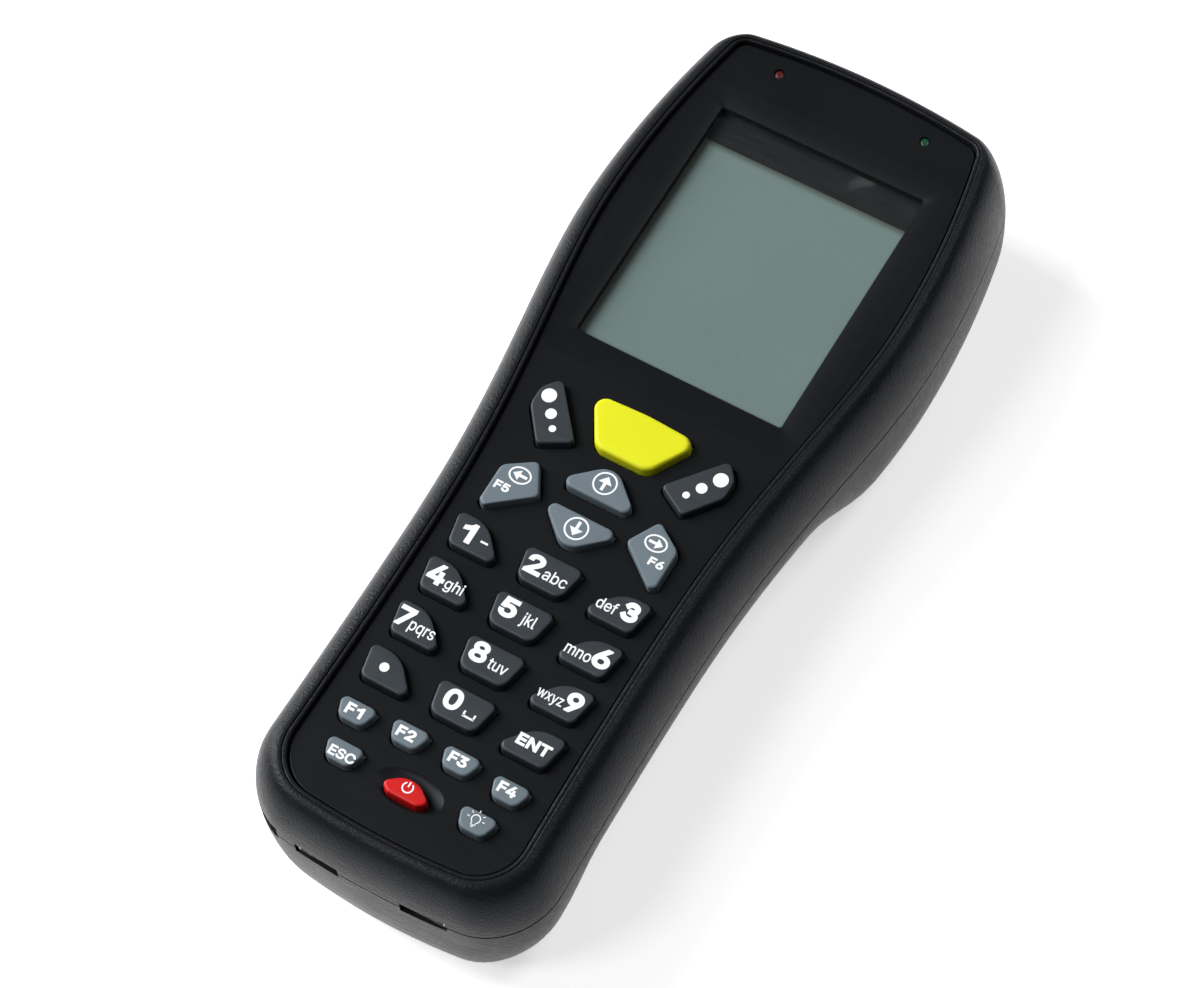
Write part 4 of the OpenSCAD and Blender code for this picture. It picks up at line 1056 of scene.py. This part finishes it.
def lettering(text, x, y, w, h, spread):
    """Flat outlines of a word as the ink spreads it, fitted to a box of w by h about (x, y)."""
    loops = own_outlines.get(text) or font_outlines(text)
    xs = [p.x for loop in loops for p in loop]
    ys = [p.y for loop in loops for p in loop]
    middle = Vector((min(xs) + max(xs), min(ys) + max(ys))) / 2
    scale = Vector(((w - 2 * spread) / (max(xs) - min(xs)), (h - 2 * spread) / (max(ys) - min(ys))))
    places, lines = [], []
    for loop in loops:
        fitted = moved_out([Vector((x, y)) + (p - middle) * scale for p in loop], spread)
        first = len(places)
        places += fitted
        lines += [(first + k, first + (k + 1) % len(fitted)) for k in range(len(fitted))]
    flat, _, cells, _, _, _ = delaunay_2d_cdt(places, lines, [], 0, 1e-5, False)
    spots = numpy.array([sum((flat[k] for k in cell), Vector((0, 0))) / len(cell) for cell in cells])
    starts = numpy.array([places[a] for a, _ in lines])
    runs = numpy.array([places[b] for _, b in lines]) - starts
    dx = spots[:, None, 0] - starts[None, :, 0]
    dy = spots[:, None, 1] - starts[None, :, 1]
    left = runs[:, 0] * dy - runs[:, 1] * dx
    rising = (dy >= 0) & (dy < runs[:, 1]) & (left > 0)
    falling = (dy < 0) & (dy >= runs[:, 1]) & (left < 0)
    inside = rising.sum(1) > falling.sum(1)
    return [(p.x, p.y) for p in flat], [tuple(cell) for cell, kept in zip(cells, inside) if kept]


def disc(x, y, r, sides=40):
    return round_plan(x, y, r, r, sides), [tuple(range(sides))]


def ring(x, y, rx, ry, line, start=0.0, sweep=math.tau, sides=48):
    """Line of even width along an ellipse, whole or in part."""
    whole = abs(sweep - math.tau) < 1e-6
    count = sides if whole else sides + 1
    points, faces = [], []
    for i in range(count):
        a = start + sweep * i / sides
        for d in (-line / 2, line / 2):
            points.append((x + (rx + d) * math.cos(a), y + (ry + d) * math.sin(a)))
    for i in range(sides):
        k = (i + 1) % count
        faces.append((2 * i, 2 * i + 1, 2 * k + 1, 2 * k))
    return points, faces


def bar(x0, y0, x1, y1, line):
    """Straight line of even width."""
    run = Vector((x1 - x0, y1 - y0)).normalized()
    side = Vector((-run.y, run.x)) * line / 2
    return [(x0 + side.x, y0 + side.y), (x0 - side.x, y0 - side.y), (x1 - side.x, y1 - side.y),
            (x1 + side.x, y1 + side.y)], [(0, 1, 2, 3)]


def arrow(x, y, dx, dy, length=2.7, head=1.35, line=0.55, broad=1.2):
    """Arrow about (x, y) that points along (dx, dy)."""
    def put(along, across):
        return (x + dx * along - dy * across, y + dy * along + dx * across)
    half = length / 2
    points = [put(-half, -line / 2), put(half - head, -line / 2), put(half - head, -broad), put(half, 0),
              put(half - head, broad), put(half - head, line / 2), put(-half, line / 2)]
    return points, [(0, 1, 5, 6), (2, 3, 4, 5, 1)]


def print_on(name, marks):
    """Raises flat marks into a thin layer of ink on one key's cap."""
    form = bmesh.new()
    for points, faces in marks:
        verts = [form.verts.new((px * MM, py * MM, (key_top - 0.01) * MM)) for px, py in points]
        for f in faces:
            form.faces.new([verts[k] for k in f])
    bmesh.ops.remove_doubles(form, verts=form.verts, dist=1e-6)
    bmesh.ops.recalc_face_normals(form, faces=form.faces)
    for f in form.faces:
        if f.normal.z < 0:
            f.normal_flip()
    raised = bmesh.ops.extrude_face_region(form, geom=form.faces[:])
    for item in raised["geom"]:
        if isinstance(item, bmesh.types.BMVert):
            item.co.z += ink_t * MM
    bmesh.ops.recalc_face_normals(form, faces=form.faces)
    mesh = bpy.data.meshes.new("print_" + name)
    form.to_mesh(mesh)
    form.free()
    mesh.materials.append(ink_white)
    made = bpy.data.objects.new("print_" + name, mesh)
    bpy.context.scene.collection.objects.link(made)
    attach(made, "key_" + name)


heavy = 0.24
bold = 0.13
light = 0.03
# key, then its words as (text, x, height over its row's middle, width, height, spread of the ink)
row_legends = [
    ("1", 0, [("1", -14.86, 0.07, 2.3, 3.7, heavy)]),
    ("2", 0, [("2", -2.36, 0.35, 3.1, 3.6, heavy), ("abc", 1.75, -0.3, 4.3, 2.1, light)]),
    ("3", 0, [("3", 15.4, 0.4, 3.0, 3.6, heavy), ("def", 11.43, -0.3, 3.6, 2.1, light)]),
    ("4", 1, [("4", -15.3, 0.28, 3.2, 3.7, heavy), ("ghi", -11.73, -0.64, 3.3, 2.6, light)]),
    ("5", 1, [("5", -2.1, 0.68, 3.1, 3.6, heavy), ("jkl", 1.89, -0.02, 2.5, 2.8, light)]),
    ("6", 1, [("6", 15.55, 0.18, 3.1, 3.7, heavy), ("mno", 11.6, -0.87, 4.6, 1.6, light)]),
    ("7", 2, [("7", -15.9, 0.3, 2.9, 3.6, heavy), ("pqrs", -12.3, -0.89, 4.6, 2.2, light)]),
    ("8", 2, [("8", -2.2, 0.71, 3.1, 3.75, heavy), ("tuv", 1.66, -0.19, 3.4, 1.9, light)]),
    ("9", 2, [("9", 15.55, 0.3, 2.9, 3.65, heavy), ("wxyz", 11.68, -0.91, 4.6, 1.95, light)]),
    ("0", 3, [("0", -1.6, 0.54, 3.1, 3.75, heavy)]),
    ("enter", 3, [("ENT", 13.7, -0.05, 6.0, 2.1, 0.15)]),
]
dash_y = row_y(0) - 0.34
space_y = row_y(3) - 0.65
extra_marks = {
    "1": [bar(-12.28, dash_y, -10.92, dash_y, 0.36)],
    "0": [bar(0.95, space_y - 0.45, 3.14, space_y - 0.45, 0.34)]
         + [bar(x, space_y - 0.45, x, space_y + 0.45, 0.34) for x in (1.12, 2.97)],
}
for name, row, words in row_legends:
    marks = [lettering(text, x, row_y(row) + up, w, h, weight) for text, x, up, w, h, weight in words]
    print_on(name, marks + extra_marks.get(name, []))
print_on("point", [disc(-14.2, row_y(3) - 0.01, 0.82)])

# key, then its word as (text, x, y, width, height, spread of the ink)
function_words = [
    ("f2", ("F2", -5.05, -60.5, 3.3, 1.95, bold)),
    ("f3", ("F3", 4.5, -60.35, 3.3, 1.95, bold)),
    ("f4", ("F4", 13.95, -60.95, 3.3, 1.95, bold)),
    ("escape", ("ESC", -12.1, -68.5, 4.7, 1.8, 0.09)),
]
for name, word in function_words:
    print_on(name, [lettering(*word)])
print_on("f1", [lettering("F", -15.12, -61.1, 1.55, 2.0, bold),
                lettering("1", -13.45, -61.1, 1.25, 2.0, bold)])

ring_line = 0.3
print_on("up", [ring(0.04, -7.34, 1.93, 1.93, ring_line), arrow(0.04, -7.34, 0, 1)])
print_on("down", [ring(0.12, -16.55, 1.93, 1.93, ring_line), arrow(0.12, -16.55, 0, -1)])
for name, text, side, ring_x, word_x in (("f5", "F5", -1, -12.8, -14.4), ("f6", "F6", 1, 12.75, 14.55)):
    print_on(name, [ring(ring_x, -12.7, 1.85, 1.4, ring_line),
                    arrow(ring_x, -12.7, side, 0, 2.6, 1.25, 0.5, 0.95),
                    lettering(text, word_x, -15.75, 2.7, 1.55, 0.1)])
dots = ((16.2, 2.16, 1.29), (14.2, -0.6, 0.96), (12.6, -2.85, 0.62))
for side, name in ((-1, "dotted_left"), (1, "dotted_right")):
    print_on(name, [disc(side * x, y, r) for x, y, r in dots])

power_y = -68.3
print_on("power", [ring(0, power_y, 0.88, 0.88, 0.24, math.radians(125), math.radians(290)),
                   bar(0, power_y + 0.1, 0, power_y + 1.05, 0.26)])
bulb_x = 12.2
bulb_y = -67.65
bulb_line = 0.16
bulb_marks = [ring(bulb_x, bulb_y, 0.72, 0.72, 0.18, math.radians(-58), math.radians(296))]
for x0, y0, x1, y1 in ((-0.36, -0.62, -0.36, -1.1), (0.36, -0.62, 0.36, -1.1),
                       (-0.36, -1.1, 0.36, -1.1), (-0.22, -1.4, 0.22, -1.4)):
    bulb_marks.append(bar(bulb_x + x0, bulb_y + y0, bulb_x + x1, bulb_y + y1, bulb_line))
for degrees in (0, 40, 90, 140, 180):
    dx, dy = math.cos(math.radians(degrees)), math.sin(math.radians(degrees))
    bulb_marks.append(bar(bulb_x + dx * 1.15, bulb_y + dy * 1.15, bulb_x + dx * 1.6, bulb_y + dy * 1.6, 0.14))
print_on("lamp", bulb_marks)

# ---------------------------------------------------------------- what lies inside
# The solids that stay as they are in the frame: board, mat, sockets, scanner, battery and
# fasteners, each with the finish of its real material.


def metal(name, colour, roughness):
    """Bare sheet or turned metal with fine brushing and a few duller patches."""
    material, tree, output = new_material(name)
    shader = add_node(tree, "BsdfPrincipled", {"Metallic": 1, "Base Color": (*colour, 1)})
    place = add_node(tree, "TexCoord")
    run = add_node(tree, "Mapping", {"Scale": (300, 4000, 4000)})
    brushed = add_node(tree, "TexNoise", {"Scale": 1, "Detail": 4})
    gloss = add_node(tree, "MapRange", {"From Min": 0.3, "From Max": 0.7,
                                        "To Min": roughness - 0.08, "To Max": roughness + 0.1})
    bump = add_node(tree, "Bump", {"Strength": 0.15, "Distance": 0.02 * MM})
    wire(tree, (place, "Object", run, "Vector"), (run, "Vector", brushed, "Vector"),
         (brushed, "Fac", gloss, "Value"), (gloss, "Result", shader, "Roughness"),
         (brushed, "Fac", bump, "Height"), (bump, "Normal", shader, "Normal"), (shader, 0, output, "Surface"))
    return material


steel = metal("plated_steel", (0.62, 0.62, 0.64), 0.3)
gold = metal("gilt_contact", (0.83, 0.62, 0.26), 0.28)
rubber = moulded("black_rubber", (0.012, 0.012, 0.012), 0.7, 0.3, 0.3)
inner_black = moulded("inner_black", (0.016, 0.016, 0.017), 0.5, 0.3, 0.3)
board_green = moulded("solder_mask", (0.012, 0.085, 0.035), 0.35, 0.8, 0.25, tone=0.2)
diffuser_white = moulded("diffuser_sheet", (0.72, 0.74, 0.72), 0.45, 0.5, 0.1, tone=0.03)
wrap_black = moulded("shrink_wrap", (0.02, 0.021, 0.024), 0.32, 1.2, 0.4)
red_pane = clear_material("red_pane", (0.10, 0.004, 0.006), 0.82)
lens_glass = clear_material("lens_glass", (0.05, 0.07, 0.09), 0.7)

node_finish = {
    "housing_seal": rubber, "keypad_mat": rubber, "key_domes": steel, "display_frame": inner_black,
    "backlight_panel": diffuser_white, "main_board": board_green, "board_chips": inner_black,
    "coin_cell": steel, "beeper": inner_black, "socket_left": steel, "socket_right": steel,
    "scan_window": red_pane, "scan_engine": inner_black, "scan_lens": lens_glass, "engine_bracket": steel,
    "battery_pack": wrap_black, "battery_contacts": gold, "lid_pin": steel, "housing_screws": steel,
    "board_screws": steel, "bracket_screws": steel, "strap_post": steel,
}
for node, finish in node_finish.items():
    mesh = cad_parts[node].data
    mesh.materials.clear()
    mesh.materials.append(finish)
